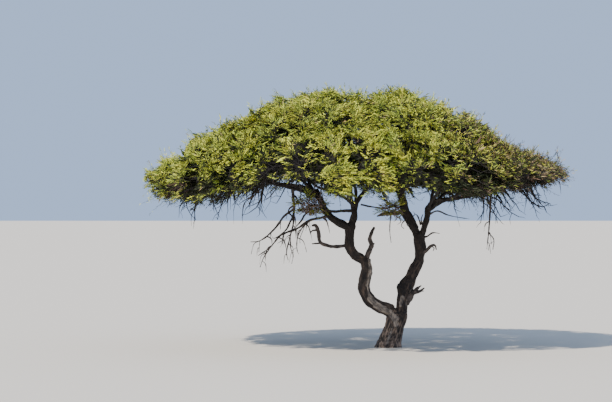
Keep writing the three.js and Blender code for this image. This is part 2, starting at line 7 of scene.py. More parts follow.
import bmesh
import bpy
import numpy as np
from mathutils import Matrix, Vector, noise


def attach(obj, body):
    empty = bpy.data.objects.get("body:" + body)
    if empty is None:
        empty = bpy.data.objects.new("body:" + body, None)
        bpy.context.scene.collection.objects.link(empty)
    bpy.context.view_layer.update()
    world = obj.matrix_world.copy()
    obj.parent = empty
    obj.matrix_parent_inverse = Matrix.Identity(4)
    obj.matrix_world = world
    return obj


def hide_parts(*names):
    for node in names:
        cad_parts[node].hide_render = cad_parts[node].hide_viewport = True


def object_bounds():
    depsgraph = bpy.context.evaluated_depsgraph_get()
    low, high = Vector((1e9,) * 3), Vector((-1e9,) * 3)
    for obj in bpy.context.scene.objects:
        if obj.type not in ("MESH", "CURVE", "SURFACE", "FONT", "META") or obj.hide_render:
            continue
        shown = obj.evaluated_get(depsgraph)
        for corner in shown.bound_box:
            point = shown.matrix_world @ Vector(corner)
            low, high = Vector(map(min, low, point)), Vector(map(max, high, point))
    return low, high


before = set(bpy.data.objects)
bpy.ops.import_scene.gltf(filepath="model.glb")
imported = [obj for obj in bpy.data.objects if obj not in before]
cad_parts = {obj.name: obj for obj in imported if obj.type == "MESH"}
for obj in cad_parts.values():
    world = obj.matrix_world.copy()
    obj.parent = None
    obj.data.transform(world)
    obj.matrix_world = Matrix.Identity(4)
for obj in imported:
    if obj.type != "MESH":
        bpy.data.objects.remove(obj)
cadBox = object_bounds()
mm = 0.001
up = np.array([0.0, 0.0, 1.0])
chance = np.random.default_rng(336)

# Camera, floor and light

camera = {
    "place": (-2.075, -42.5, 3.2),
    "lens": 100,
    "sensor": 36,
    "pitchUp": 0.607,
    "clipEnd": 4000,
}
light = {
    "sunStrength": 6.4,
    "sunSpread": 1.2,
    "sunHeight": 47,
    "sunLeft": 38,
    "sunColour": (1.0, 0.96, 0.88),
    "skyColour": (0.44, 0.60, 0.90),
    "skyStrength": 1.08,
    "floorColour": (0.62, 0.56, 0.48),
    "floorRoughness": 0.95,
    "floorSize": 6000,
}

cameraData = bpy.data.cameras.new("camera")
cameraData.lens = camera["lens"]
cameraData.sensor_width = camera["sensor"]
cameraData.clip_end = camera["clipEnd"]
cameraObject = bpy.data.objects.new("camera", cameraData)
cameraObject.location = camera["place"]
cameraObject.rotation_euler = (math.radians(90 + camera["pitchUp"]), 0, 0)
bpy.context.scene.collection.objects.link(cameraObject)
bpy.context.scene.camera = cameraObject

sunData = bpy.data.lights.new("sun", "SUN")
sunData.energy = light["sunStrength"]
sunData.angle = math.radians(light["sunSpread"])
sunData.color = light["sunColour"]
sunObject = bpy.data.objects.new("sun", sunData)
sunObject.rotation_euler = (math.radians(90 - light["sunHeight"]), 0, math.radians(-light["sunLeft"]))
bpy.context.scene.collection.objects.link(sunObject)

world = bpy.data.worlds.new("studio")
world.use_nodes = True
sky = world.node_tree.nodes["Background"]
sky.inputs["Color"].default_value = (*light["skyColour"], 1)
sky.inputs["Strength"].default_value = light["skyStrength"]
bpy.context.scene.world = world

# Node trees. A Value is a socket that can be reckoned with, in shader and geometry trees alike.


class Value:
    def __init__(self, tree, socket):
        self.tree = tree
        self.socket = socket

    def maths(self, operation, *others):
        inputs = dict(enumerate([self, *others]))
        return addNode(self.tree, "ShaderNodeMath", {"operation": operation}, inputs)

    def __add__(self, other):
        return self.maths("ADD", other)

    def __sub__(self, other):
        return self.maths("SUBTRACT", other)

    def __mul__(self, other):
        return self.maths("MULTIPLY", other)

    def __rsub__(self, other):
        return self.maths("MULTIPLY", -1) + other

    def clamped(self):
        return self.maths("MAXIMUM", 0).maths("MINIMUM", 1)

    __radd__ = __add__
    __rmul__ = __mul__


# Adds a node: its settings come first, then its inputs, each a value or a link. Gives one of its outputs.
def addNode(tree, kind, settings=None, inputs=None, output=0):
    node = tree.nodes.new(kind)
    for name, value in (settings or {}).items():
        setattr(node, name, value)
    for key, value in (inputs or {}).items():
        if isinstance(value, Value):
            tree.links.new(value.socket, node.inputs[key])
        else:
            node.inputs[key].default_value = value
    return Value(tree, node.outputs[output])


def mixColour(tree, factor, dark, pale):
    def colour(value):
        return value if isinstance(value, Value) else (*value, 1)

    settings = {"data_type": "RGBA"}
    return addNode(tree, "ShaderNodeMix", settings, {0: factor, 6: colour(dark), 7: colour(pale)}, 2)


def noiseOf(tree, place, scale, detail=2):
    return addNode(tree, "ShaderNodeTexNoise", {}, {"Vector": place, "Scale": scale, "Detail": detail}, "Fac")


def attributeOf(tree, name, output="Fac"):
    return addNode(tree, "ShaderNodeAttribute", {"attribute_name": name}, {}, output)


def objectPlace(tree):
    return addNode(tree, "ShaderNodeTexCoord", {}, {}, "Object")


def newMaterial(name):
    material = bpy.data.materials.new(name)
    material.use_nodes = True
    return material, material.node_tree, material.node_tree.nodes["Principled BSDF"]


# Routes and limbs

trunkRoute = [
    [0, 0, -120, 300],
    [0, 0, 0, 300],
    [25, 0, 150, 272],
    [85, 0, 330, 254],
    [150, 0, 540, 240],
    [205, 0, 740, 262],
    [232, 0, 860, 232],
    [236, 0, 920, 150],
]
mainLimbs = {
    "limb_left_lower": [
        [185, 0, 770, 152],
        [-30, -10, 925, 162],
        [-265, -40, 1025, 154],
        [-505, -70, 1215, 152],
        [-636, -80, 1500, 158],
        [-597, -60, 1740, 152],
        [-550, -40, 1990, 138],
        [-600, -30, 2170, 128],
    ],
    "limb_left_upper": [
        [-585, -32, 2120, 108],
        [-700, -30, 2215, 122],
        [-850, -40, 2290, 117],
        [-965, -60, 2450, 114],
        [-993, -90, 2690, 114],
        [-982, -110, 2910, 122],
        [-970, -115, 3040, 116],
    ],
    "limb_right_lower": [
        [285, 10, 760, 150],
        [335, 20, 1080, 150],
        [362, 30, 1380, 172],
        [404, 40, 1500, 192],
        [528, 50, 1720, 148],
        [640, 55, 1950, 143],
        [755, 50, 2220, 132],
        [785, 40, 2460, 136],
        [765, 30, 2690, 146],
        [752, 26, 2790, 128],
    ],
    "fork_left": [
        [-980, -112, 2975, 84],
        [-1190, -140, 3080, 92],
        [-1400, -150, 3200, 86],
        [-1560, -110, 3370, 82],
        [-1735, -20, 3700, 78],
        [-1835, 40, 3930, 70],
    ],
    "fork_middle": [
        [-965, -113, 2985, 84],
        [-890, -80, 3200, 92],
        [-862, -40, 3400, 84],
        [-880, -10, 3560, 66],
    ],
    "fork_centre": [
        [745, 28, 2740, 96],
        [640, 40, 2930, 104],
        [515, 60, 3180, 116],
        [395, 70, 3400, 118],
        [345, 60, 3650, 98],
        [260, 40, 3880, 80],
    ],
    "fork_right": [
        [770, 22, 2720, 74],
        [868, -10, 2930, 82],
        [945, -40, 3200, 78],
        [975, -55, 3440, 80],
        [1050, -60, 3580, 80],
    ],
}
# Burls, knots and stumps that swell the limbs: place and half sizes in millimetres.
lumps = [
    {"place": (300, -20, 1500), "size": (125, 120, 110)},
    {"place": (350, -60, 800), "size": (110, 130, 150)},
    {"place": (30, -70, 1010), "size": (110, 80, 70)},
    {"place": (-735, -90, 1500), "size": (60, 80, 110)},
    {"place": (-690, -110, 2265), "size": (70, 60, 60)},
    {"place": (-560, -60, 2160), "size": (110, 90, 90)},
    {"place": (-960, -110, 3010), "size": (130, 120, 110)},
    {"place": (760, 20, 2770), "size": (140, 130, 130)},
    {"place": (420, -10, 1150), "size": (90, 80, 120)},
]


def unit(vectors):
    return vectors / np.maximum(np.linalg.norm(vectors, axis=-1, keepdims=True), 1e-9)


stepsPerStop = 16
steepest = 0.9


# A smooth line through a route's stops, and its radius, by the share of its length.
class Centreline:
    def __init__(self, route, scale=mm):
        stops = np.array(route, float) * scale
        places, radii = stops[:, :3], stops[:, 3]
        knots = np.vstack([2 * places[0] - places[1], places, 2 * places[-1] - places[-2]])
        s = np.linspace(0, 1, stepsPerStop, endpoint=False)[:, None]
        stretches = []
        for i in range(len(places) - 1):
            a, b, c, d = knots[i : i + 4]
            before, here, after = (math.sqrt(np.linalg.norm(q - p)) for p, q in ((a, b), (b, c), (c, d)))
            leave = ((b - a) / before - (c - a) / (before + here)) * here + (c - b)
            arrive = ((d - c) / after - (d - b) / (here + after)) * here + (c - b)
            ends = (2 * s**3 - 3 * s**2 + 1) * b + (3 * s**2 - 2 * s**3) * c
            stretches.append(ends + (s**3 - 2 * s**2 + s) * leave + (s**3 - s**2) * arrive)
        self.places = np.vstack([*stretches, places[-1:]])
        order = np.arange(len(places))
        self.radii = np.interp(np.linspace(0, order[-1], len(self.places)), order, radii)
        self.gone = np.r_[0, np.cumsum(np.linalg.norm(np.diff(self.places, axis=0), axis=1))]
        self.length = self.gone[-1]

    def at(self, share):
        far = np.asarray(share) * self.length
        places = np.stack([np.interp(far, self.gone, self.places[:, axis]) for axis in range(3)], -1)
        return places, np.interp(far, self.gone, self.radii)

    # Places a pitch apart, with the directions across the line carried along it without a twist.
    def frames(self, pitch):
        count = max(2, round(self.length / pitch))
        places, radii = self.at(np.linspace(0, 1, count + 1))
        headings = unit(np.gradient(places, axis=0))
        wide = np.zeros_like(places)
        side = np.cross(headings[0], up if abs(headings[0][2]) < steepest else [0.0, 1.0, 0.0])
        for i, heading in enumerate(headings):
            side = unit(side - heading * np.dot(side, heading))
            wide[i] = side
        far = np.linspace(0, self.length, count + 1)
        thick = np.cross(headings, wide)
        return SimpleNamespace(places=places, radii=radii, headings=headings, wide=wide, thick=thick, far=far)


# A closed tube along a line: its corners, its triangles and the bark's grain at each corner.
# Swell gives its radius, as a share, by place and angle. Blunt is how far its ends stand out, in radii.
def tube(line, sides, pitch, swell=None, blunt=0.5):
    frames = line.frames(pitch)
    angles = 2 * np.pi * np.arange(sides) / sides
    cosine, sine = np.cos(angles), np.sin(angles)
    outwards = cosine[None, :, None] * frames.wide[:, None] + sine[None, :, None] * frames.thick[:, None]
    reach = np.repeat(frames.radii[:, None], sides, 1)
    if swell is not None:
        reach = reach * swell(frames, angles, outwards)
    corners = frames.places[:, None] + outwards * reach[..., None]
    grain = np.dstack([cosine * reach, sine * reach, np.repeat(frames.far[:, None], sides, 1)])
    last = len(corners) - 1
    ends = [
        frames.places[0] - frames.headings[0] * frames.radii[0] * blunt,
        frames.places[last] + frames.headings[last] * frames.radii[last] * blunt,
    ]
    corners = np.vstack([corners.reshape(-1, 3), ends])
    grain = np.vstack([grain.reshape(-1, 3), [[0, 0, 0]], [[0, 0, frames.far[-1]]]])
    ring = np.arange(sides)
    onward = (ring + 1) % sides
    starts = (np.arange(last) * sides)[:, None]
    lower, lowerNext = starts + ring, starts + onward
    halves = [lower, lowerNext, lowerNext + sides, lower, lowerNext + sides, lower + sides]
    walls = np.stack(halves, -1).reshape(-1, 3)
    footEnd, headEnd = np.full(sides, len(corners) - 2), np.full(sides, len(corners) - 1)
    foot = np.stack([footEnd, onward, ring], -1)
    head = np.stack([headEnd, last * sides + ring, last * sides + onward], -1)
    return corners, np.vstack([walls, foot, head]), grain


# The corners and triangles alone of a tube along a route in metres.
def plainTube(route, sides, pitch):
    return tube(Centreline(route, 1), sides, pitch)[:2]


# Joins several meshes, each given as corners, triangles and whatever else goes by corner, into one.
def joined(parts):
    parts = list(parts)
    offsets = np.cumsum([0, *[len(part[0]) for part in parts[:-1]]])
    corners = np.vstack([part[0] for part in parts])
    triangles = np.vstack([part[1] + offset for part, offset in zip(parts, offsets)])
    rest = [np.vstack([part[i] for part in parts]) for i in range(2, len(parts[0]))]
    return corners, triangles, *rest


def meshOf(name, corners, triangles, smooth=False):
    mesh = bpy.data.meshes.new(name)
    mesh.vertices.add(len(corners))
    mesh.vertices.foreach_set("co", np.asarray(corners, np.float32).ravel())
    mesh.loops.add(triangles.size)
    mesh.loops.foreach_set("vertex_index", np.asarray(triangles, np.int32).ravel())
    mesh.polygons.add(len(triangles))
    mesh.polygons.foreach_set("loop_start", np.arange(0, triangles.size, 3, dtype=np.int32))
    mesh.update(calc_edges=True)
    mesh.polygons.foreach_set("use_smooth", np.full(len(triangles), smooth))
    return mesh


def storeOn(mesh, name, values):
    values = np.asarray(values, np.float32)
    vector = values.ndim == 2
    attribute = mesh.attributes.new(name, "FLOAT_VECTOR" if vector else "FLOAT", "POINT")
    attribute.data.foreach_set("vector" if vector else "value", values.ravel())


def showMesh(name, mesh, material=None):
    shown = bpy.data.objects.new(name, mesh)
    bpy.context.scene.collection.objects.link(shown)
    if material is not None:
        mesh.materials.clear()
        mesh.materials.append(material)
    return shown


# Gives an object the mesh that its modifiers make, in place of its own.
def settle(shown):
    bpy.context.view_layer.update()
    graph = bpy.context.evaluated_depsgraph_get()
    evaluated = shown.evaluated_get(graph)
    mesh = bpy.data.meshes.new_from_object(evaluated, preserve_all_data_layers=True, depsgraph=graph)
    shown.modifiers.clear()
    shown.data = mesh


# Says what a finished piece is: it rides on the tree's one body and stands for some of the frame's nodes.
def declare(shown, nodes):
    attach(shown, "root")
    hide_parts(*nodes)


# Bark: furrows along the grain and broad flutes, pushed out of the surface by a geometry tree

barkLook = {
    "pale": (0.35, 0.285, 0.228),
    "paleDark": (0.085, 0.070, 0.060),
    "footRidge": (0.33, 0.235, 0.175),
    "footHeight": 1.1,
    "roughness": 0.93,
    "blotches": 5.5,
    "raised": (0.9, 2.2, 1.6, -0.1),  # from the relief, the streaks and the blotches, and where it starts
    "worn": (3.6, 3, 3, -0.9),
    "wornLeast": 0.02,
    "darkBarkAndShade": 0.85,
    "shadeRise": 0.8,
    "shadeFrom": 1.5,
    "bump": {"Strength": 0.7, "Distance": 0.01},
    "crackStretch": 0.16,
    "plateGain": 7,
    "plateLevel": 0.6,
}
# Each kind of bark: the colour of its furrows, its ridges, how fine its streaks are and how much painted
# shade darkens it under the crown.
barks = {
    "bark": ((0.012, 0.009, 0.008), (0.080, 0.054, 0.040), 60, 0.85),
    "deadBark": ((0.026, 0.020, 0.017), (0.165, 0.128, 0.108), 90, 0.3),
    "tangleBark": ((0.16, 0.11, 0.080), (0.56, 0.41, 0.30), 90, 0.0),
    "twigBark": ((0.014, 0.010, 0.009), (0.110, 0.080, 0.066), 60, 0.85),
}
relief = {
    "limbs": {"Furrow Depth": 0.018, "Furrow Width": 0.050, "Flute Depth": 0.03, "Flute Width": 0.30},
    "boughs": {"Furrow Depth": 0.005, "Furrow Width": 0.035, "Flute Depth": 0.016, "Flute Width": 0.22},
    "dead": {"Furrow Depth": 0.005, "Furrow Width": 0.022, "Flute Depth": 0.012, "Flute Width": 0.12},
}


def reliefTree():
    tree = bpy.data.node_groups.new("barkRelief", "GeometryNodeTree")
    tree.interface.new_socket("Geometry", in_out="INPUT", socket_type="NodeSocketGeometry")
    for name, value in relief["limbs"].items():
        tree.interface.new_socket(name, in_out="INPUT", socket_type="NodeSocketFloat").default_value = value
    tree.interface.new_socket("Material", in_out="INPUT", socket_type="NodeSocketMaterial")
    tree.interface.new_socket("Geometry", in_out="OUTPUT", socket_type="NodeSocketGeometry")
    entry = tree.nodes.new("NodeGroupInput")
    given = {socket.name: Value(tree, socket) for socket in entry.outputs if socket.name}
    vector = {"data_type": "FLOAT_VECTOR"}
    grain = addNode(tree, "GeometryNodeInputNamedAttribute", vector, {"Name": "grain"}, "Attribute")
    place = addNode(tree, "GeometryNodeInputPosition")
    normal = addNode(tree, "GeometryNodeInputNormal")

    def inverse(value):
        return value.maths("POWER", -1)

    cracks = noiseOf(tree, grain, inverse(given["Furrow Width"]), 3)
    plates = ((cracks - 0.5).maths("ABSOLUTE") * barkLook["plateGain"]).clamped()
    blurred = addNode(tree, "GeometryNodeBlurAttribute", {}, {"Value": plates, "Iterations": 1})
    flutes = noiseOf(tree, place, inverse(given["Flute Width"]), 2)
    furrowed = (blurred - barkLook["plateLevel"]) * given["Furrow Depth"]
    offset = furrowed + (flutes - 0.5) * given["Flute Depth"] * 2
    push = addNode(tree, "ShaderNodeVectorMath", {"operation": "SCALE"}, {0: normal, "Scale": offset})
    byPoint = {"data_type": "FLOAT", "domain": "POINT"}
    told = {"Geometry": given["Geometry"], "Name": "relief", "Value": blurred}
    kept = addNode(tree, "GeometryNodeStoreNamedAttribute", byPoint, told)
    moved = addNode(tree, "GeometryNodeSetPosition", {}, {"Geometry": kept, "Offset": push})
    real = addNode(tree, "GeometryNodeRealizeInstances", {}, {"Geometry": moved})
    finished = addNode(tree, "GeometryNodeSetMaterial", {}, {"Geometry": real, "Material": given["Material"]})
    leave = tree.nodes.new("NodeGroupOutput")
    tree.links.new(finished.socket, leave.inputs[0])
    return tree


barkTree = reliefTree()


def addRelief(shown, settings, material):
    modifier = shown.modifiers.new("relief", "NODES")
    modifier.node_group = barkTree
    wanted = {**settings, "Material": material}
    for item in barkTree.interface.items_tree:
        if item.in_out == "INPUT" and item.name in wanted:
            modifier[item.identifier] = wanted[item.name]
    settle(shown)
    shown.data.materials.clear()
    shown.data.materials.append(material)


# Bark colour: dark in the furrows, the bark's own dark colour with painted shade in them, and lighter on the
# ridges. The "pale" attribute is above 0 where the wood is worn grey and below 0 where the bark is painted
# nearly black, partly as painted shade. Up under the crown painted shade darkens the bark too.
def barkMaterial(name, dark, ridge, fine, shade):
    material, tree, shader = newMaterial(name)
    place = objectPlace(tree)
    height = addNode(tree, "ShaderNodeSeparateXYZ", {}, {"Vector": place}, "Z")
    pale = attributeOf(tree, "pale")
    blotches = noiseOf(tree, place, barkLook["blotches"], 3)
    streaks = noiseOf(tree, attributeOf(tree, "grain", "Vector"), fine, 4)

    def pattern(base, weights):
        onBase, onStreaks, onBlotches, start = weights
        uneven = (streaks - 0.5) * onStreaks + (blotches - 0.5) * onBlotches
        return (base * onBase + uneven + start).clamped()

    # Low relief is darker: the furrows' own dark bark, with painted shade in them.
    raised = pattern(attributeOf(tree, "relief"), barkLook["raised"])
    low = (1 - height * (1 / barkLook["footHeight"])).clamped()
    wood = mixColour(tree, raised, dark, mixColour(tree, low, ridge, barkLook["footRidge"]))
    worn = mixColour(tree, raised, barkLook["paleDark"], barkLook["pale"])
    edge = pattern(pale, barkLook["worn"]) * pale.maths("GREATER_THAN", barkLook["wornLeast"])
    # Painted shade: the bark turns darker higher up, under the crown, as far as each kind's shade allows.
    high = (height * barkLook["shadeRise"] - barkLook["shadeFrom"]).clamped() * shade
    # The dark patches, partly painted shade, and the painted shade under the crown together darken the bark
    # to its furrow colour.
    darkBarkAndShade = (pale * -barkLook["darkBarkAndShade"]).clamped().maths("MAXIMUM", high)
    colour = mixColour(tree, darkBarkAndShade, mixColour(tree, edge, wood, worn), dark)
    tree.links.new(colour.socket, shader.inputs["Base Color"])
    shader.inputs["Roughness"].default_value = barkLook["roughness"]
    bumps = addNode(tree, "ShaderNodeBump", {}, {**barkLook["bump"], "Height": streaks})
    tree.links.new(bumps.socket, shader.inputs["Normal"])
    return material


paints = {name: barkMaterial(name, *settings) for name, settings in barks.items()}

mainLook = {"voxel": 0.0125, "sides": 20, "pitch": 0.05, "fineness": 4.2, "wobble": 0.09, "smooth": 4}
footLook = {
    "height": 0.92,
    "fading": 5,
    "toe": 0.34,
    "toeTurn": math.pi,
    "flare": 0.1,
    "flares": 5,
    "flareTurn": 0.6,
    "ripple": 0.04,
    "ripples": 3,
    "rippleTwist": 4,
    "flute": 0.035,
    "flutes": 7,
    "fluteTwist": 2,
    "fluteTurn": 1.5,
    "fluteFading": 0.6,
    "narrowing": 0.3,
}


# Uneven thickness along a limb.
def unevenSwell(look):
    def swell(frames, angles, outwards):
        spots = frames.places[:, None] + outwards * frames.radii[:, None, None]
        waves = [[noise.noise(tuple(spot * look["fineness"])) for spot in ring] for ring in spots]
        return 1 + look["wobble"] * np.array(waves) * 2

    return swell


# The foot spreads into low root flares, with a toe to the left, and flutes run up between them.
def trunkSwell(frames, angles, outwards):
    look = footLook
    heights = np.clip(frames.places[:, 2] / look["height"], 0, 1)[:, None]
    turns = np.arctan2(outwards[..., 1], outwards[..., 0])
    foot = (1 - heights) ** look["fading"]
    toe = look["toe"] * foot * np.maximum(0, np.cos(turns - look["toeTurn"])) ** 3
    flares = look["flare"] * foot * np.cos(look["flares"] * turns + look["flareTurn"])
    ripples = look["ripple"] * np.cos(look["ripples"] * turns + look["rippleTwist"] * heights)
    waves = np.cos(look["flutes"] * turns + look["fluteTurn"] + look["fluteTwist"] * heights)
    flutes = look["flute"] * waves * (1 - look["fluteFading"] * heights)
    narrow = 1 - look["narrowing"] * heights**2 * np.sin(turns) ** 2
    return (1 + toe + (flares + ripples) + flutes) * narrow


def lumpOf(lump):
    ball = bmesh.new()
    bmesh.ops.create_icosphere(ball, subdivisions=3, radius=1)
    corners = np.array([corner.co for corner in ball.verts])
    triangles = np.array([[corner.index for corner in face.verts] for face in ball.faces])
    ball.free()
    return corners * np.array(lump["size"]) * mm + np.array(lump["place"]) * mm, triangles


# Grey worn wood on the main limbs: strips from one place to another, and how wide they are, in millimetres.
palePatches = [
    {"from": (-485, -130, 2200), "to": (-465, -150, 1900), "width": 62},
    {"from": (-465, -150, 1900), "to": (-540, -190, 1560), "width": 66},
    {"from": (-540, -190, 1560), "to": (-490, -180, 1230), "width": 66},
    {"from": (-490, -180, 1230), "to": (-310, -190, 1050), "width": 92},
    {"from": (-310, -190, 1050), "to": (-40, -190, 880), "width": 125},
    {"from": (-40, -190, 880), "to": (125, -240, 740), "width": 135},
    {"from": (125, -240, 740), "to": (170, -250, 560), "width": 85},
    {"from": (320, -130, 1250), "to": (290, -150, 1060), "width": 72},
    {"from": (570, -60, 1400), "to": (440, -110, 1080), "width": 66},
    {"from": (230, -240, 520), "to": (240, -250, 160), "width": 45},
    {"from": (60, -230, 480), "to": (-60, -260, 120), "width": 40},
]
# Bark painted nearly black: painted shade in the crotch and under the left limb, and dark bark along the left
# limb's outer side and on the burl.
darkPatches = [
    {"from": (350, -200, 1040), "to": (370, -230, 640), "width": 100},
    {"from": (-90, -170, 1100), "to": (130, -190, 1000), "width": 70},
    {"from": (-640, -190, 1980), "to": (-700, -200, 1480), "width": 75},
    {"from": (-750, -150, 1290), "to": (-459, -150, 953), "width": 85},
    {"from": (-459, -150, 953), "to": (-190, -150, 819), "width": 75},
    {"from": (260, -150, 1600), "to": (320, -150, 1400), "width": 130},
]
patchFade = 1.6


# How far corners are inside the nearest of some patches: 1 in its middle, 0 outside.
def nearPatches(corners, patches):
    found = np.zeros(len(corners))
    for patch in patches:
        start, end = np.array(patch["from"]) * mm, np.array(patch["to"]) * mm
        along = end - start
        share = np.clip((corners - start) @ along / (along @ along), 0, 1)
        away = np.linalg.norm(corners - start - share[:, None] * along, axis=1)
        found = np.maximum(found, np.clip(patchFade - patchFade * away / (patch["width"] * mm), 0, 1))
    return found


grainLook = {"pitch": 0.03, "shift": 5.3, "atOnce": 20000}


# Grain: for each corner, its place across and along the limb that it belongs to.
def grainOf(corners, lines):
    found = [line.frames(grainLook["pitch"]) for line in lines]
    names = ("places", "radii", "wide", "thick", "headings")
    places, radii, wide, thick, headings = (
        np.concatenate([getattr(frames, name) for frames in found]) for name in names
    )
    far = np.concatenate([frames.far + grainLook["shift"] * i for i, frames in enumerate(found)])
    grain = np.zeros_like(corners)
    for start in range(0, len(corners), grainLook["atOnce"]):
        part = slice(start, start + grainLook["atOnce"])
        away = corners[part, None] - places[None]
        nearest = np.argmin(np.linalg.norm(away, axis=2) / radii[None], axis=1)
        offset = corners[part] - places[nearest]
        along = far[nearest] + np.einsum("ij,ij->i", offset, headings[nearest])
        grain[part, 0] = np.einsum("ij,ij->i", offset, wide[nearest])
        grain[part, 1] = np.einsum("ij,ij->i", offset, thick[nearest])
        grain[part, 2] = along * barkLook["crackStretch"]
    return grain


def cornersOf(mesh):
    corners = np.zeros(len(mesh.vertices) * 3, np.float32)
    mesh.vertices.foreach_get("co", corners)
    return corners.reshape(-1, 3).astype(float)


# A flat cut at the ground, closed by one face.
def cutAtGround(mesh):
    shape = bmesh.new()
    shape.from_mesh(mesh)
    everything = [*shape.verts, *shape.edges, *shape.faces]
    cut = bmesh.ops.bisect_plane(
        shape, geom=everything, dist=1e-5, plane_co=(0, 0, 0), plane_no=(0, 0, 1), clear_inner=True
    )
    rim = [piece for piece in cut["geom_cut"] if isinstance(piece, bmesh.types.BMEdge)]
    bmesh.ops.contextual_create(shape, geom=rim)
    shape.to_mesh(mesh)
    shape.free()


def makeMainLimbs():
    lines = {name: Centreline(route) for name, route in {"trunk": trunkRoute, **mainLimbs}.items()}
    parts = []
    limbSwell = unevenSwell(mainLook)
    for name, line in lines.items():
        swell = trunkSwell if name == "trunk" else limbSwell
        parts.append(tube(line, mainLook["sides"], mainLook["pitch"], swell)[:2])
    parts.extend(lumpOf(lump) for lump in lumps)
    shown = showMesh("bark_main", meshOf("bark_main", *joined(parts)))
    remesh = shown.modifiers.new("remesh", "REMESH")
    remesh.mode = "VOXEL"
    remesh.voxel_size = mainLook["voxel"]
    remesh.use_smooth_shade = True
    smooth = shown.modifiers.new("smooth", "SMOOTH")
    smooth.iterations = mainLook["smooth"]
    settle(shown)
    corners = cornersOf(shown.data)
    storeOn(shown.data, "grain", grainOf(corners, list(lines.values())))
    storeOn(shown.data, "pale", nearPatches(corners, palePatches) - nearPatches(corners, darkPatches))
    addRelief(shown, relief["limbs"], paints["bark"])
    cutAtGround(shown.data)
    declare(shown, lines)
    return lines


lines = makeMainLimbs()

# Masses of foliage: where each one is, by the source's rule

crown = {
    "middleX": -1.1,
    "reachLeft": 5.06,
    "reachRight": 5.62,
    "reachDeep": 4.4,
    "rimZ": 4.33,
    "topZ": 6.52,
    "fullness": 2.2,
    "cellStretch": 2.2,
    "tilt": 0.75,
}
tiers = {
    "rim": {
        "share": 0.82,
        "outward": 0.18,
        "round": 1.56,
        "deep": 0.64,
        "lowest": -0.8,
        "targets": 8,
        "carriers": {
            "right": {
                "angle": 0,
                "from": "fork_right",
                "dip": -60,
                "lowest": -0.35,
                "via": [[1180, -65, 3655], [1510, -60, 3690], [2090, -60, 3790], [2560, -70, 3900]],
            },
            "back_right": {"angle": 36, "from": "fork_right", "dip": 30},
            "back_right_middle": {"angle": 73, "from": "fork_centre", "dip": 20},
            "back_left_middle": {"angle": 109, "from": "fork_middle", "dip": 50},
            "back_left": {"angle": 144, "from": "fork_left", "dip": 50},
            "left": {
                "angle": 180,
                "from": "fork_left",
                "dip": 190,
                "lowest": -0.55,
                "via": [[-2130, 0, 3985], [-2440, -30, 4040], [-2990, -40, 4110]],
            },
            "front_left": {"angle": 219, "from": "fork_left", "dip": 60},
            "front_left_middle": {"angle": 262, "from": "fork_middle", "dip": 90},
            "front_right_middle": {"angle": 300, "from": "fork_right", "dip": 20},
            "front_right": {"angle": 331, "from": "fork_right", "dip": 60},
        },
    },
    "mid": {
        "share": 0.5,
        "outward": 0.19,
        "round": 1.38,
        "deep": 0.56,
        "lowest": -0.5,
        "targets": 7,
        "carriers": {
            "right": {"angle": 15, "from": "fork_right", "dip": 60},
            "back": {"angle": 78, "from": "fork_centre", "dip": 10},
            "back_left": {"angle": 138, "from": "fork_left", "dip": 30},
            "left": {"angle": 196, "from": "fork_left", "dip": 130},
            "front": {"angle": 250, "from": "fork_middle", "dip": 50},
            "front_right": {"angle": 311, "from": "fork_centre", "dip": 30},
        },
    },
    "top": {
        "share": 0.2,
        "outward": 0.18,
        "round": 0.96,
        "deep": 0.48,
        "lowest": -0.3,
        "targets": 6,
        "carriers": {
            "right": {"angle": 0, "from": "fork_centre", "dip": 20},
            "back": {"angle": 90, "from": "fork_centre", "dip": 60},
            "left": {"angle": 180, "from": "fork_middle", "dip": 0},
            "front": {"angle": 270, "from": "fork_middle", "dip": 90},
        },
    },
}
clumps = {
    "clump_left": {
        "centre": [-1960, -330, 3560],
        "size": [360, 260, 230],
        "from": "fork_middle",
        "start": [-868, -40, 3420],
        "via": [[-1180, -220, 3395], [-1500, -330, 3410]],
        "radius": 30,
    },
    "clump_middle": {
        "centre": [40, -420, 3480],
        "size": [300, 240, 260],
        "from": "fork_centre",
        "start": [370, 60, 3500],
        "via": [[300, -120, 3500]],
        "radius": 34,
    },
}
clumpLook = {"lowest": -0.7, "targets": 5, "leafSize": 0.6}
bough = {
    "radius": 0.078,
    "hidden": 0.044,
    "tip": 0.026,
    "stop": 0.62,
    "flatter": 0.6,
    "first": 1.02,
    "apart": 0.06,
    "bends": (0.2, 0.4, 0.6, 0.8),
    "climb": 0.80,
    "climbing": (0.8, 1.6),
    "wander": 0.03,
    "waves": 9,
    "thinning": 0.8,
}
# Two stems that leave the top of fork_middle side by side and end among the leaves, in millimetres.
middleStems = [
    [[-880, -40, 3330, 46], [-935, -80, 3560, 38], [-952, -110, 3800, 34], [-930, -130, 4150, 26]],
    [[-862, -40, 3380, 60], [-820, -60, 3560, 56], [-720, -80, 3760, 50], [-590, -90, 3930, 44]]
    + [[-450, -95, 4180, 28]],
]


def outShare(places):
    across = places[..., 0] - crown["middleX"]
    reach = np.where(across > 0, crown["reachRight"], crown["reachLeft"])
    return np.hypot(across / reach, places[..., 1] / crown["reachDeep"])


def domeZ(places):
    fall = np.minimum(outShare(places), 1) ** crown["fullness"]
    return crown["rimZ"] + (crown["topZ"] - crown["rimZ"]) * (1 - fall)


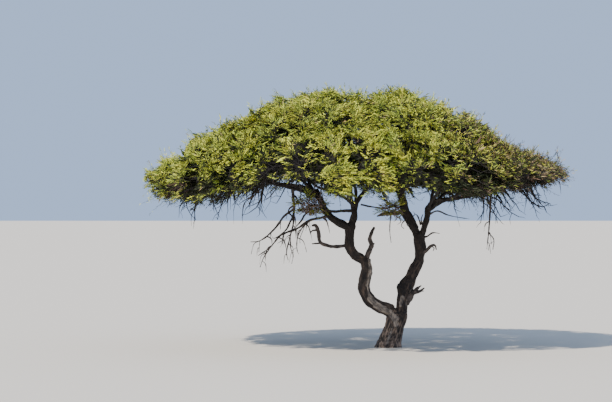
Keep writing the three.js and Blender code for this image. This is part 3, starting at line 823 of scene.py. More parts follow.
def tierMass(tierName, tier, place, carrier):
    angle = math.radians(carrier["angle"])
    across = crown["reachRight"] if math.cos(angle) > 0 else crown["reachLeft"]
    toRim = np.array([math.cos(angle) * across, math.sin(angle) * crown["reachDeep"], 0])
    reach = np.linalg.norm(toRim)
    centre = np.array([crown["middleX"], 0, 0]) + toRim * tier["share"]
    centre[2] = domeZ(centre) - tier["deep"] - carrier["dip"] * mm
    x, y, _ = toRim / reach
    rise = crown["topZ"] - crown["rimZ"]
    slope = crown["fullness"] * tier["share"] ** (crown["fullness"] - 1) * rise / reach
    return SimpleNamespace(
        name=f"{tierName}_{place}",
        tier=tierName,
        centre=centre,
        size=np.array([tier["outward"] * reach, tier["round"], tier["deep"]]),
        axes=np.array([[x, y, -crown["tilt"] * slope], [-y, x, 0], up]),
        lowest=carrier.get("lowest", tier["lowest"]),
        targets=tier["targets"],
        leafSize=1,
        carrier=carrier,
    )


def clumpMass(name, clump):
    return SimpleNamespace(
        name=name,
        tier="clump",
        centre=np.array(clump["centre"]) * mm,
        size=np.array(clump["size"]) * mm,
        axes=np.eye(3),
        carrier=clump,
        **clumpLook,
    )


masses = [
    *[tierMass(name, tier, *item) for name, tier in tiers.items() for item in tier["carriers"].items()],
    *[clumpMass(name, clump) for name, clump in clumps.items()],
]
# Each mass keeps to its own side of a wall between it and each of the others.
for mass in masses:
    others = [other for other in masses if other is not mass]
    across = np.array([mass.centre - other.centre for other in others])
    shares = np.array([other.size[0] / (other.size[0] + mass.size[0]) for other in others])
    through = np.array([other.centre for other in others]) + across * shares[:, None]
    mass.facing = unit(across * [1, 1, crown["cellStretch"]])
    mass.wallsAt = np.einsum("ij,ij->i", mass.facing, through)

carried = {}


# A bough's route in metres: from its fork, or its start on a limb, to inside its mass, by the source's rule.
def boughRoute(mass):
    carrier = mass.carrier
    base = carrier["from"]
    carried[base] = carried.get(base, 0) + 1
    if "start" in carrier:
        root = np.array(carrier["start"]) * mm
    else:
        root = lines[base].at(bough["first"] - bough["apart"] * carried[base])[0]
    via = [np.array(stop) * mm for stop in carrier.get("via", [])]
    inward = (via[-1] if via else root) - mass.centre
    inward[2] *= bough["flatter"]
    end = mass.centre + unit(inward) * bough["stop"] * mass.size[0]
    if not via:
        across = end - root
        sideways = unit(np.array([-across[1], across[0], 0])) * bough["wander"] * np.linalg.norm(across)
        early, late = bough["climbing"]
        for along in bough["bends"]:
            stop = root + across * along
            rise = along**late + (along**early - along**late) * bough["climb"]
            stop[2] = root[2] + across[2] * rise
            via.append(stop + sideways * math.sin(bough["waves"] * along + carrier["angle"]))
    stops = [root, *via, end]
    radius = bough["radius" if "via" in carrier else "hidden"]
    if "radius" in carrier:
        radius = carrier["radius"] * mm
    shares = np.linspace(0, 1, len(stops)) ** bough["thinning"]
    return np.column_stack([stops, radius + (bough["tip"] - radius) * shares])


for mass in masses:
    mass.line = Centreline(boughRoute(mass), 1)

# Boughs and dead wood: tubes with the same relief, finer

deadWood = {
    "snag_left": [
        [[-575, -35, 2190, 50], [-530, -60, 2330, 56], [-478, -70, 2460, 46], [-440, -75, 2560, 44]]
        + [[-487, -78, 2685, 42], [-452, -84, 2830, 37], [-372, -95, 2990, 24]],
        [[-450, -74, 2545, 28], [-372, -72, 2590, 14]],
    ],
    "hook_left": [
        [[-985, -78, 2560, 34], [-1150, -130, 2530, 32], [-1350, -190, 2510, 33], [-1560, -240, 2545, 34]]
        + [[-1730, -280, 2630, 38], [-1755, -290, 2800, 40], [-1785, -295, 2960, 36]]
        + [[-1850, -300, 3050, 32], [-1925, -305, 3035, 20]],
        [[-1700, -270, 2600, 26], [-1925, -320, 2585, 10]],
        [[-1790, -294, 2925, 20], [-1930, -290, 2905, 13], [-1965, -285, 2850, 8]],
    ],
    "stub_right": [
        [[430, 10, 1100, 70], [530, -40, 1270, 70], [610, -80, 1375, 44], [700, -95, 1465, 32]]
        + [[795, -98, 1540, 12]],
        [[590, -70, 1345, 42], [745, -55, 1392, 32], [880, -45, 1478, 14]],
        [[740, -60, 1395, 20], [860, -75, 1405, 8]],
    ],
    "stub_hook": [
        [[800, 20, 2350, 44], [925, -60, 2410, 37], [1025, -90, 2515, 32], [1135, -100, 2545, 26]]
        + [[1175, -105, 2435, 12]],
    ],
    "stub_middle": [
        [[400, 60, 3390, 40], [210, -60, 3340, 40], [-40, -170, 3340, 40], [-190, -210, 3310, 34]]
        + [[-310, -230, 3270, 14]],
        [[40, -140, 3340, 14], [10, -150, 2930, 9], [45, -150, 2610, 5]],
    ],
    "dead_bough_left": [
        [[-1490, -130, 3280, 26], [-1680, -260, 3235, 22], [-2000, -380, 3160, 20], [-2300, -430, 2960, 17]]
        + [[-2700, -470, 2800, 15], [-2960, -480, 2500, 12], [-3250, -490, 2300, 7]],
        [[-2930, -478, 2540, 10], [-3140, -440, 2210, 8], [-3210, -430, 2010, 5]],
        [[-2060, -392, 3130, 13], [-2270, -350, 2800, 10], [-2300, -350, 2450, 8], [-2260, -350, 2330, 5]],
    ],
    "dead_bough_hanging": [
        [[-2410, -30, 4030, 24], [-2395, -60, 3680, 25], [-2370, -80, 3480, 22], [-2620, -110, 3270, 17]]
        + [[-2880, -130, 2930, 14], [-3240, -150, 2650, 11], [-3460, -160, 2630, 6]],
        [[-2372, -78, 3500, 17], [-2390, -110, 3100, 14], [-2480, -120, 2720, 11], [-2560, -120, 2360, 9]]
        + [[-2520, -120, 2170, 5]],
        [[-3225, -150, 2660, 8], [-3250, -150, 2380, 5]],
    ],
    "dead_bough_right": [
        [[2540, -70, 3885, 20], [2510, -75, 3240, 14], [2480, -75, 2830, 11], [2435, -80, 2450, 6]],
        [[2484, -75, 2850, 9], [2610, -70, 2690, 8], [2590, -70, 2440, 5]],
    ],
}
# The dead boughs that hang carry fine twigs: how far each one's twigs spread, in metres.
hangingSpread = {"dead_bough_left": 0.30, "dead_bough_hanging": 0.26, "dead_bough_right": 0.24}
# Fine dead twigs that have no solid of their own.
looseTwigs = [
    [[830, 30, 2740, 22], [950, -40, 2767, 18], [1080, -80, 2855, 14], [1265, -90, 2840, 6]],
    [[960, -50, 3290, 22], [1195, -60, 3400, 17], [1510, -80, 3285, 12], [2000, -90, 3200, 4]],
    [[790, 20, 3060, 18], [705, -60, 3285, 13], [620, -90, 3342, 6]],
    [[720, 60, 2990, 20], [640, 20, 3170, 17], [590, -10, 3260, 13], [650, -30, 3320, 10]]
    + [[590, -50, 3390, 5]],
    [[850, 0, 3000, 16], [800, -40, 3190, 13], [850, -60, 3330, 8]],
    [[-700, -80, 3560, 18], [-420, -120, 3500, 15], [-100, -110, 3470, 15], [180, 0, 3530, 19]],
    [[-1560, -160, 3390, 14], [-1380, -140, 3378, 22], [-1120, -100, 3408, 28], [-880, -50, 3400, 40]],
    [[-2368, -80, 3500, 26], [-2396, -120, 3276, 24], [-2480, -180, 3108, 21], [-2564, -260, 2940, 18]]
    + [[-2749, -380, 2771, 12]],
    [[-1990, -150, 3380, 12], [-2110, -170, 3300, 18], [-2190, -200, 3160, 16], [-2278, -260, 3060, 13]]
    + [[-2440, -300, 2900, 8]],
    [[-2463, -120, 2740, 12], [-2453, -130, 2468, 10], [-2396, -130, 2300, 8], [-2429, -130, 2090, 4]],
    [[-2076, -390, 3140, 11], [-2143, -380, 2939, 10], [-2228, -370, 2704, 7], [-2222, -370, 2600, 4]],
    [[-1992, -380, 3170, 9], [-1990, -370, 3090, 7], [-1965, -370, 2990, 4]],
    [[-2700, -470, 2800, 11], [-2880, -460, 2722, 9], [-2934, -450, 2805, 4]],
    [[-2620, -300, 2860, 10], [-2648, -290, 2620, 8], [-2730, -290, 2480, 4]],
    [[-2500, -120, 2740, 8], [-2650, -150, 2670, 6], [-2790, -180, 2590, 4]],
    [[-3180, -160, 3990, 18], [-3389, -200, 3764, 14], [-3590, -220, 3613, 12], [-3655, -230, 3330, 9]]
    + [[-3648, -230, 3080, 4]],
    [[-3389, -200, 3770, 12], [-3560, -260, 3690, 10], [-3730, -300, 3580, 5]],
    [[-2790, -100, 4000, 12], [-2985, -140, 3747, 9], [-3230, -170, 3610, 4]],
    [[350, -60, 3330, 14], [250, -130, 3240, 11], [285, -150, 3130, 9], [200, -160, 3060, 5]],
    [[440, -40, 3190, 14], [340, -120, 3120, 11], [300, -140, 3030, 8], [365, -150, 2960, 4]],
    [[300, -60, 3420, 13], [160, -120, 3330, 10], [190, -140, 3200, 7], [110, -150, 3130, 4]],
    [[480, -30, 3140, 12], [440, -110, 3060, 9], [500, -130, 2990, 5]],
    [[250, -70, 3460, 12], [60, -130, 3370, 9], [40, -150, 3260, 6], [-30, -150, 3200, 4]],
    [[1060, -98, 2520, 16], [1120, -110, 2470, 12], [1090, -112, 2400, 5]],
]
knotty = {
    "sides": 10,
    "deadSides": 8,
    "pitch": 0.045,
    "fineness": 11,
    "wobble": 0.16,
    "blunt": 0.8,
    "grainShift": 3.1,
    "thicker": 1.28,
    "hanging": 1.6,
}
hangingLook = {
    "apart": 0.26,
    "first": 0.9,
    "spare": 0.6,
    "bend": (0.45, 0.6, -0.25),
    "tip": (0.6, 0.8, -0.95),
    "length": (0.8, 1.5),
    "thickness": (0.8, 0.6),
    "least": 0.005,
}
goldenAngle = math.pi * (3 - math.sqrt(5))


# One piece of many round limbs, with the grain running along each.
def makeWood(name, found, sides, settings, material, nodes):
    parts = []
    knottySwell = unevenSwell(knotty)
    for i, line in enumerate(found):
        corners, triangles, grain = tube(line, sides, knotty["pitch"], knottySwell, knotty["blunt"])
        grain[:, 2] = grain[:, 2] * barkLook["crackStretch"] + knotty["grainShift"] * i
        parts.append((corners, triangles, grain))
    corners, triangles, grain = joined(parts)
    mesh = meshOf(name, corners, triangles, True)
    storeOn(mesh, "grain", grain)
    shown = showMesh(name, mesh)
    addRelief(shown, settings, material)
    declare(shown, nodes)


boughLines = [mass.line for mass in masses] + [Centreline(stem) for stem in middleStems]
boughNodes = [f"bough_{mass.name}" for mass in masses]
makeWood("bark_boughs", boughLines, knotty["sides"], relief["boughs"], paints["bark"], boughNodes)


# Fine twigs along a dead bough, each bent over and hanging down.
def hangingTwigs(route, spread):
    line = Centreline(route)
    count = math.floor(line.length / hangingLook["apart"])
    rootShare, bendShare = hangingLook["thickness"]
    twigs = []
    for i in range(count):
        place, radius = line.at((i + hangingLook["first"]) / (count + hangingLook["spare"]))
        turn = i * goldenAngle + len(route)
        around = np.array([math.cos(turn), math.sin(turn), 1])
        bend = place + around * hangingLook["bend"] * spread
        tip = place + around * hangingLook["tip"] * spread * chance.uniform(*hangingLook["length"])
        stops = [[*place, radius * rootShare], [*bend, radius * bendShare], [*tip, hangingLook["least"]]]
        twigs.append(Centreline(stops, 1))
    return twigs


# Bark makes the dead wood thicker than its solids, most of all where it hangs.
def thickened(route, name=""):
    gain = knotty["hanging"] if name in hangingSpread else knotty["thicker"]
    return [[x, y, z, radius * gain] for x, y, z, radius in route]


deadLines = [Centreline(thickened(route, name)) for name, routes in deadWood.items() for route in routes]
for name, spread in hangingSpread.items():
    for route in deadWood[name]:
        deadLines.extend(hangingTwigs(thickened(route, name), spread))
deadLines.extend(Centreline(thickened(route)) for route in looseTwigs)
deadSides = knotty["deadSides"]
makeWood("dead_wood", deadLines, deadSides, relief["dead"], paints["deadBark"], deadWood)
print("boughs and dead wood made")

# Growth: twigs that fork towards their targets in each mass's shell, and a fan of sprays at each end

growth = {
    "finer": 2.0,
    "fork": 0.5,
    "taper": 0.76,
    "least": 0.006,
    "forked": 1.4,
    "branch": 0.8,
    "kink": 0.07,
    "kinks": (0.4, 1.4),
    "sides": 3,
    "pitch": 0.24,
    "outward": 0.4,
    "beside": 3,
    "besideFrom": 0.97,
    "besideOver": 0.85,
    "besideSize": 0.9,
    "onward": 0.6,
    "aside": 0.8,
    "hand": (0.5, 1.2),
    "lean": (-0.25, 0.35),
    "tries": 9,
    "swing": 0.5,
    "turnDown": 0.07,
    "shrink": 0.05,
    "searched": 1200,
    "shell": (0.5, 0.86),
    "shellTop": 0.95,
    "shellFlat": 0.85,
    "shellRise": 0.8,
    "skin": 0.05,
    "footRoom": 0.1,
    "overlap": 0.12,
    "sprayRoom": 0.02,
    "undersideRoom": 0.12,
    "coverCount": 1300,
    "coverDepth": (0.10, 0.30),
    "coverWithin": 0.985,
    "coverPower": 0.43,
    "coverProbe": 0.3,
    "underCount": 300,
    "underFrom": 0.48,
    "underWithin": 0.97,
    "underPower": 0.7,
    "underRise": (0.42, 0.12),
    "creaseDepth": 0.10,
    "creaseWidth": 0.50,
    "tuftDepth": 0.09,
    "tuftWidth": 0.62,
    "insideFrom": 0.20,
    "insideOver": 0.15,
    "insideMore": 1.45,
    "insideLost": 0.3,
    "innerCount": 480,
    "innerWithin": 0.80,
    "innerRoom": (0.35, 0.75),
    "innerTurn": 0.4,
    "innerSize": 1.6,
    "innerRoll": 1.5,
    "ragged": (-0.12, 0.20),
}
fan = {
    "length": 0.38,
    "uneven": (0.8, 1.15),
    "twiglets": 5,
    "sprays": 10,
    "first": 0.14,
    "jitter": 0.03,
    "angle": (0.3, 0.9),
    "lift": (-0.25, 0.4),
    "reach": 0.66,
    "reachUneven": (0.75, 1.2),
    "narrowing": (1.15, 0.5),
    "tipReach": 1.4,
    "rise": 0.16,
    "facing": 0.8,
    "roll": 0.5,
    "droop": 0.05,
}
spray = {
    "length": (0.074, 0.144),
    "first": 0.75,
    "turn": 0.50,
    "turnSpread": 0.45,
    "stray": 0.12,
    "level": 0.6,
    "lift": 0.08,
    "sweep": 0.35,
    "facing": (0.6, 0.5, 0.5),  # how much it follows its fan, the sky and the way out of the crown
    "faceStray": 1.0,
    "leaves": 2,
    "spread": 0.20,
    "spreadUneven": 0.12,
    "leafLength": 0.64,
    "leafUneven": (0.85, 1.15),
    "leafWidth": 0.24,
    "leafWidest": 0.45,
    "leafLift": 0.25,
    "fold": 0.35,
    "kinds": 6,
}

# The crown's outline in the front view, in millimetres, where the dome's own curve is too plain.
skyline = np.array(
    [[-6100, 4440], [-5850, 4430], [-5650, 4700], [-5050, 4700], [-4930, 5380], [-4425, 5400]]
    + [[-4025, 5600], [-3625, 5670], [-3225, 5980], [-2825, 6330], [-2625, 6230], [-2225, 6300]]
    + [[-1825, 6430], [-1425, 6500], [-1225, 6340], [-425, 6360], [-25, 6520], [375, 6440]]
    + [[775, 6270], [1175, 6230], [1575, 5880], [1975, 5870], [2375, 5520], [2775, 5180]]
    + [[3375, 4940], [3775, 4780], [4175, 4640], [4400, 4480]],
    float,
)
# The lowest leaves along the crown, in millimetres.
underline = np.array(
    [[-6100, 4150], [-5800, 3660], [-5000, 3500], [-4400, 3520], [-4050, 3700], [-3500, 3760], [-2900, 3980]]
    + [[-2100, 4040], [-1720, 3800], [-1560, 3620], [-1120, 3620], [-1010, 3830], [-560, 3870], [-450, 3690]]
    + [[0, 3700], [900, 3720], [1700, 3570], [2300, 3600], [2800, 3720], [3300, 3830], [3750, 3930]]
    + [[4400, 4200]],
    float,
)
# How far front to back the outline counts, how much higher the middle of the underside is, and how uneven.
outline = {"deep": 1.9, "hollow": 0.35, "ragged": 0.18, "raggedScale": 1.5, "raggedShift": 3}
spreadBase = 1.2207440846


# Even scatter: the share along an axis of the place with this index.
def share(index, axis):
    return (0.5 + index / spreadBase ** (axis + 1)) % 1


# The height of the crown's upper surface: the dome, drawn to the outline near the middle from front to back.
def surfaceZ(places):
    onAxis = places * [1, 0, 1]
    wanted = np.interp(places[..., 0], skyline[:, 0] * mm, skyline[:, 1] * mm)
    return domeZ(places) + (wanted - domeZ(onAxis)) * np.exp(-((places[..., 1] / outline["deep"]) ** 2))


def undersideZ(places):
    low = np.interp(places[..., 0], underline[:, 0] * mm, underline[:, 1] * mm)
    uneven = outline["ragged"] * (tuftFall(outline["raggedScale"] * places + outline["raggedShift"]) - 0.5)
    return low + uneven + outline["hollow"] * (1 - np.minimum(outShare(places), 1) ** 2)


# How far inside its walls a place in a mass is.
def roomIn(mass, places):
    return (places @ mass.facing.T - mass.wallsAt).min(axis=-1)


# Two waves across each other make the tufts: how close each is, how far and how often it sways, its shift.
tuftWaves = [(2.1, 1.3, 1.7, 0), (2.6, 1.1, 1.9, 0.8)]


# How far the crown's surface sinks between tufts: 0 on a tuft and 1 in between.
def tuftFall(places):
    x, y = places[..., 0] / growth["tuftWidth"], places[..., 1] / growth["tuftWidth"]
    waves = 1
    for (close, sway, often, shift), along, across in zip(tuftWaves, (x, y), (y, x)):
        waves = waves * np.sin(close * along + sway * np.sin(often * across) + shift)
    return 0.5 - 0.5 * waves


# The top of one mass: the crown's surface, rounded down towards the creases between masses and tufts.
def lobeZ(mass, places):
    near = 1 - np.clip(roomIn(mass, places) / growth["creaseWidth"], 0, 1)
    return surfaceZ(places) - growth["creaseDepth"] * near**2 - growth["tuftDepth"] * tuftFall(places) ** 2


# Whether places are in a mass's own space: at least so far inside its walls, and not too far above its top.
def inOwnSpace(mass, places, room, above=0.0):
    within = roomIn(mass, places) > room
    return within & (outShare(places) < 1) & (places[..., 2] < lobeZ(mass, places) + above)


# The source's own targets for a mass, carried on to more of them.
def targetsOf(mass, seed):
    wanted = round(mass.targets * growth["finer"])
    near, far = growth["shell"]
    places = []
    for i in range(seed, seed + growth["searched"]):
        if len(places) == wanted:
            break
        turn = 2 * math.pi * share(i, 0)
        lift = mass.lowest + (growth["shellTop"] - mass.lowest) * share(i, 1) ** growth["shellRise"]
        out = math.sqrt(1 - lift**2) * (near + (far - near) * share(i, 2))
        steps = np.array([out * math.cos(turn), out * math.sin(turn), growth["shellFlat"] * lift]) * mass.size
        place = mass.centre + steps @ mass.axes
        free = mass.tier == "clump" or place[2] > undersideZ(place) + growth["footRoom"]
        if free and inOwnSpace(mass, place, 0.0, -growth["skin"]):
            places.append(place)
    return places


# A place on the ground plan, by its turn and its share of the way out to the rim.
def onPlan(turn, out):
    across, deep = out * math.cos(turn), out * math.sin(turn)
    reach = crown["reachRight"] if math.cos(turn) > 0 else crown["reachLeft"]
    return np.array([crown["middleX"] + across * reach, deep * crown["reachDeep"], 0])


# Further targets, spread evenly just under the crown's whole surface and over its underside, and places for
# fans inside it. Each falls to the mass that it is in.
def coverTargets():
    found = [[] for _ in masses]
    inner = [[] for _ in masses]
    tiered = [i for i, mass in enumerate(masses) if mass.tier != "clump"]

    def ownerOf(place):
        return max(tiered, key=lambda index: roomIn(masses[index], place))

    shallow, deep = growth["coverDepth"]
    for i in range(growth["coverCount"]):
        out = growth["coverWithin"] * share(i, 1) ** growth["coverPower"]
        place = onPlan(2 * math.pi * share(i, 0), out)
        place[2] = surfaceZ(place) - growth["coverProbe"]
        owner = ownerOf(place)
        place[2] = lobeZ(masses[owner], place) - shallow - (deep - shallow) * share(i, 2)
        found[owner].append(place)
    middle, rim = growth["underRise"]
    for i in range(growth["underCount"]):
        outwards = share(i, 1) ** growth["underPower"]
        out = growth["underFrom"] + (growth["underWithin"] - growth["underFrom"]) * outwards
        place = onPlan(2 * math.pi * share(i, 0), out)
        place[2] = undersideZ(place) + rim + (middle - rim) * share(i, 2)
        found[ownerOf(place)].append(place)
    overFoot, underTop = growth["innerRoom"]
    for i in range(growth["innerCount"]):
        place = onPlan(2 * math.pi * share(i, 0), growth["innerWithin"] * math.sqrt(share(i, 1)))
        low, high = undersideZ(place) + overFoot, surfaceZ(place) - underTop
        place[2] = low + (high - low) * share(i, 2)
        inner[ownerOf(place)].append(place)
    return found, inner


twigParts = []
twigStops = []
fans = {"root": [], "heading": [], "size": [], "mass": [], "roll": []}


# A fan keeps to its mass's space. At each try it swings further aside, droops and gets smaller.
def addFan(massIndex, root, heading, size, roll=fan["roll"]):
    heading = unit(heading)
    for turn in range(growth["tries"]):
        swing = growth["swing"] * (1 if turn % 2 else -1) * math.ceil(turn / 2)
        cosine, sine = math.cos(swing), math.sin(swing)
        x, y, z = heading
        turned = unit(np.array([cosine * x - sine * y, sine * x + cosine * y, z - growth["turnDown"] * turn]))
        length = size * (1 - growth["shrink"] * turn)
        tip = root + turned * length * fan["length"]
        if inOwnSpace(masses[massIndex], tip, 0.0):
            for values, value in zip(fans.values(), (root, turned, length, massIndex, roll)):
                values.append(value)
            return


# A twig through its stops, with a kink half way between each two.
def addTwig(stops):
    route = []
    for i, (place, radius) in enumerate(stops):
        if i:
            before, radiusBefore = stops[i - 1]
            across = unit(np.cross(place - before, chance.normal(size=3)))
            kink = across * np.linalg.norm(place - before) * growth["kink"] * chance.uniform(*growth["kinks"])
            route.append([*((place + before) / 2 + kink), (radius + radiusBefore) / 2])
        route.append([*place, radius])
    twigParts.append(plainTube(route, growth["sides"], growth["pitch"]))


# One twig towards its targets, with a fan at its end and more beside it. Each fork takes half of them.
def grow(massIndex, start, targets, radius):
    mass = masses[massIndex]
    forked = growth["least"] * growth["forked"]
    stops = [(start, radius)]
    forks = []
    ahead = targets
    while len(ahead):
        last = len(ahead) == 1
        place = np.mean(ahead, axis=0)
        if not last:
            place = stops[-1][0] + (place - stops[-1][0]) * growth["fork"]
        stops.append((place, growth["least"] if last else max(stops[-1][1] * growth["taper"], forked)))
        if last:
            break
        axis = int(np.argmax(np.ptp(ahead, axis=0)))
        ordered = sorted(ahead, key=lambda target: target[axis])
        half = len(ordered) // 2
        forks.append((stops[-1], ordered[:half]))
        ahead = ordered[half:]
    if len(stops) < 2:
        return
    addTwig(stops)
    twigStops.append(stops)
    before, end = stops[-2][0], stops[-1][0]
    heading = unit(end - before)
    outwards = unit(end - mass.centre) * growth["outward"]
    size = mass.leafSize
    addFan(massIndex, end, heading + outwards, size)
    sideways = unit(np.cross(up, heading))
    for i in range(growth["beside"]):
        root = before + (end - before) * (growth["besideFrom"] - growth["besideOver"] * i / growth["beside"])
        hand = (1 if i % 2 else -1) * chance.uniform(*growth["hand"])
        lean = np.array([0, 0, chance.uniform(*growth["lean"])])
        turned = heading * growth["onward"] + outwards + sideways * hand * growth["aside"] + lean
        addFan(massIndex, root, turned, size * growth["besideSize"])
    for (place, thick), part in forks:
        grow(massIndex, place, part, max(growth["branch"] * thick, forked))


cover, innerCover = coverTargets()
for massIndex, mass in enumerate(masses):
    targets = targetsOf(mass, 17 * (massIndex + 1)) + cover[massIndex]
    grow(massIndex, mass.line.at(1)[0], targets, bough["tip"])
    for place in innerCover[massIndex]:
        heading = unit(place - mass.line.at(1)[0]) + chance.normal(0, growth["innerTurn"], 3)
        addFan(massIndex, place, heading, growth["innerSize"], growth["innerRoll"])
fans = {name: np.array(values, float) for name, values in fans.items()}
print("fans", len(fans["root"]), "twigs", len(twigParts))


spikeRings = ((0.0, 1.0), (0.5, 0.7))  # each ring's share along a twig and of its thickness
nearlyUp = up + 0.01


# Three directions out from each straight twig, evenly round it.
def threeWays(starts, ends):
    side = unit(np.cross(ends - starts, nearlyUp))
    face = np.cross(side, unit(ends - starts))
    turns = [2 * math.pi * j / 3 for j in range(3)]
    return [math.cos(turn) * side + math.sin(turn) * face for turn in turns]


# Thin three-sided twigs from arrays of starts and ends, each with one bend and a pointed tip.
def spikes(starts, ends, bend, radius):
    count = len(starts)
    corners = np.zeros((count, 7, 3))
    for level, (portion, thickness) in enumerate(spikeRings):
        middle = starts + (ends - starts) * portion + bend * (4 * portion * (1 - portion))
        for j, out in enumerate(threeWays(starts, ends)):
            corners[:, 3 * level + j] = middle + out * (radius * thickness)
    corners[:, 6] = ends
    ring = [[0, 1, 4], [0, 4, 3], [1, 2, 5], [1, 5, 4], [2, 0, 3], [2, 3, 5], [3, 4, 6], [4, 5, 6], [5, 3, 6]]
    triangles = np.array(ring)[None] + 7 * np.arange(count)[:, None, None]
    return corners.reshape(-1, 3), triangles.reshape(-1, 3)


# The finest twigs: straight, three-sided, closed at the root and pointed at the tip.
def needles(starts, ends, radius):
    count = len(starts)
    corners = np.zeros((count, 4, 3))
    for j, out in enumerate(threeWays(starts, ends)):
        corners[:, j] = starts + out * radius
    corners[:, 3] = ends
    faces = [[0, 1, 3], [1, 2, 3], [2, 0, 3], [2, 1, 0]]
    triangles = np.array(faces)[None] + 4 * np.arange(count)[:, None, None]
    return corners.reshape(-1, 3), triangles.reshape(-1, 3)


# The level way out from the crown's middle, with its part to the front or back flattened.
def wayOut(places, flat=1):
    return (places - [crown["middleX"], 0, 0]) * [1, flat, 0]


# To the left and to the right in turn, by so much, and straight on at the last.
def inTurn(count, amount=1.0):
    order = np.arange(count)
    return np.where(order % 2, 1.0, -1.0) * amount * np.where(order == count - 1, 0, 1)


# Each fan: a bent rib with twiglets to left and right in turn, and sprays along each twiglet.
def openFans():
    count, ribs, each = len(fans["root"]), fan["twiglets"], fan["sprays"]
    along = unit(fans["heading"])
    outwards = wayOut(fans["root"]) / crown["reachDeep"]
    side = unit(np.cross(along, up + fan["facing"] * outwards))
    face = np.cross(side, along)
    roll = (chance.uniform(-1, 1, count) * fans["roll"])[:, None]
    side, face = side * np.cos(roll) + face * np.sin(roll), face * np.cos(roll) - side * np.sin(roll)
    length = fan["length"] * fans["size"] * chance.uniform(*fan["uneven"], count)

    def ribAt(portion):
        far = (length[:, None] * portion)[..., None]
        bend = (length[:, None] * (fan["rise"] * portion**2 - fan["droop"] * portion))[..., None]
        return fans["root"][:, None] + along[:, None] * far + face[:, None] * bend

    first = fan["first"]
    portions = (first + (1 - first) * (np.arange(ribs) + 0.5) / ribs)[None]
    portions = portions + chance.uniform(-fan["jitter"], fan["jitter"], (count, ribs))
    angle = chance.uniform(*fan["angle"], (count, ribs)) * inTurn(ribs)
    lift = chance.uniform(*fan["lift"], (count, ribs))
    headings = np.cos(angle)[..., None] * along[:, None] + np.sin(angle)[..., None] * side[:, None]
    headings = unit(headings + lift[..., None] * face[:, None])
    widest, loss = fan["narrowing"]
    reach = length[:, None] * fan["reach"] * (widest - loss * portions)
    reach = reach * chance.uniform(*fan["reachUneven"], (count, ribs))
    reach[:, -1] *= fan["tipReach"]
    starts = ribAt(portions)
    ends = starts + headings * reach[..., None]
    twigletMass = np.repeat(fans["mass"].astype(int), ribs)

    steps = (np.arange(each) + spray["first"]) / each
    roots = starts[:, :, None] + (ends - starts)[:, :, None] * steps[None, None, :, None]
    turn = inTurn(each, spray["turn"]) + chance.uniform(-1, 1, (count, ribs, each)) * spray["turnSpread"]
    sideways = unit(np.cross(headings, face[:, None]))
    cosine, sine = np.cos(turn)[..., None], np.sin(turn)[..., None]
    sprayAlong = cosine * headings[:, :, None] + sine * sideways[:, :, None]
    outwards = outwards[:, None, None]
    sprayAlong = sprayAlong + chance.normal(0, spray["stray"], sprayAlong.shape) + outwards * spray["sweep"]
    sprayAlong = unit(sprayAlong * [1, 1, spray["level"]] + up * spray["lift"])
    toFan, toSky, toRim = spray["facing"]
    sprayFace = face[:, None, None] * toFan + up * toSky + outwards * toRim
    sprayFace = sprayFace + chance.normal(0, spray["faceStray"], sprayAlong.shape)
    sizes = chance.uniform(*spray["length"], (count, ribs, each)) * fans["size"][:, None, None]
    return SimpleNamespace(
        ribStarts=fans["root"],
        ribEnds=ribAt(np.ones((count, 1)))[:, 0],
        ribBend=face * (-fan["rise"] * 0.25 * length)[:, None],  # half way, it rises a quarter as far
        twigletStarts=starts.reshape(-1, 3),
        twigletEnds=ends.reshape(-1, 3),
        twigletMass=twigletMass,
        sprayRoots=roots.reshape(-1, 3),
        sprayAlong=sprayAlong.reshape(-1, 3),
        sprayFace=sprayFace.reshape(-1, 3),
        spraySizes=sizes.reshape(-1),
        sprayMass=np.repeat(twigletMass, each),
        sprayTwiglet=np.repeat(np.arange(count * ribs), each),
    )


# How far the shown tree may go beyond the solids' own box, each way.
beyondBox = np.array([0.28, 0.23, 0.17])


def inReach(places):
    lowest, highest = np.array(cadBox[0]) - beyondBox, np.array(cadBox[1]) + beyondBox
    return ((places > lowest) & (places < highest)).all(axis=-1)


# Young shoots stand out of the crown's top and sides, and others trail out of its lower edge.
# Each is a twig with sprays in two rows.
shoots = {
    "upper": {"count": 1100, "length": (0.18, 0.38), "out": 0.60, "rise": 0.50, "flat": 1},
    "lower": {"count": 280, "length": (0.35, 0.70), "out": 0.85, "rise": -0.26, "flat": 0.6},
    "deepest": 0.16,
    "upperFrom": 0.4,
    "lowerTo": 0.3,
    "lowerOut": 0.5,
    "furthest": 1.03,
    "own": 0.5,
    "stray": 0.22,
    "sprays": 9,
    "size": 0.85,
    "first": 1.1,
    "spare": 0.6,
    "spread": 0.55,
    "sprayStray": 0.1,
    "faceStray": 0.6,
    "thickness": 0.0055,
}


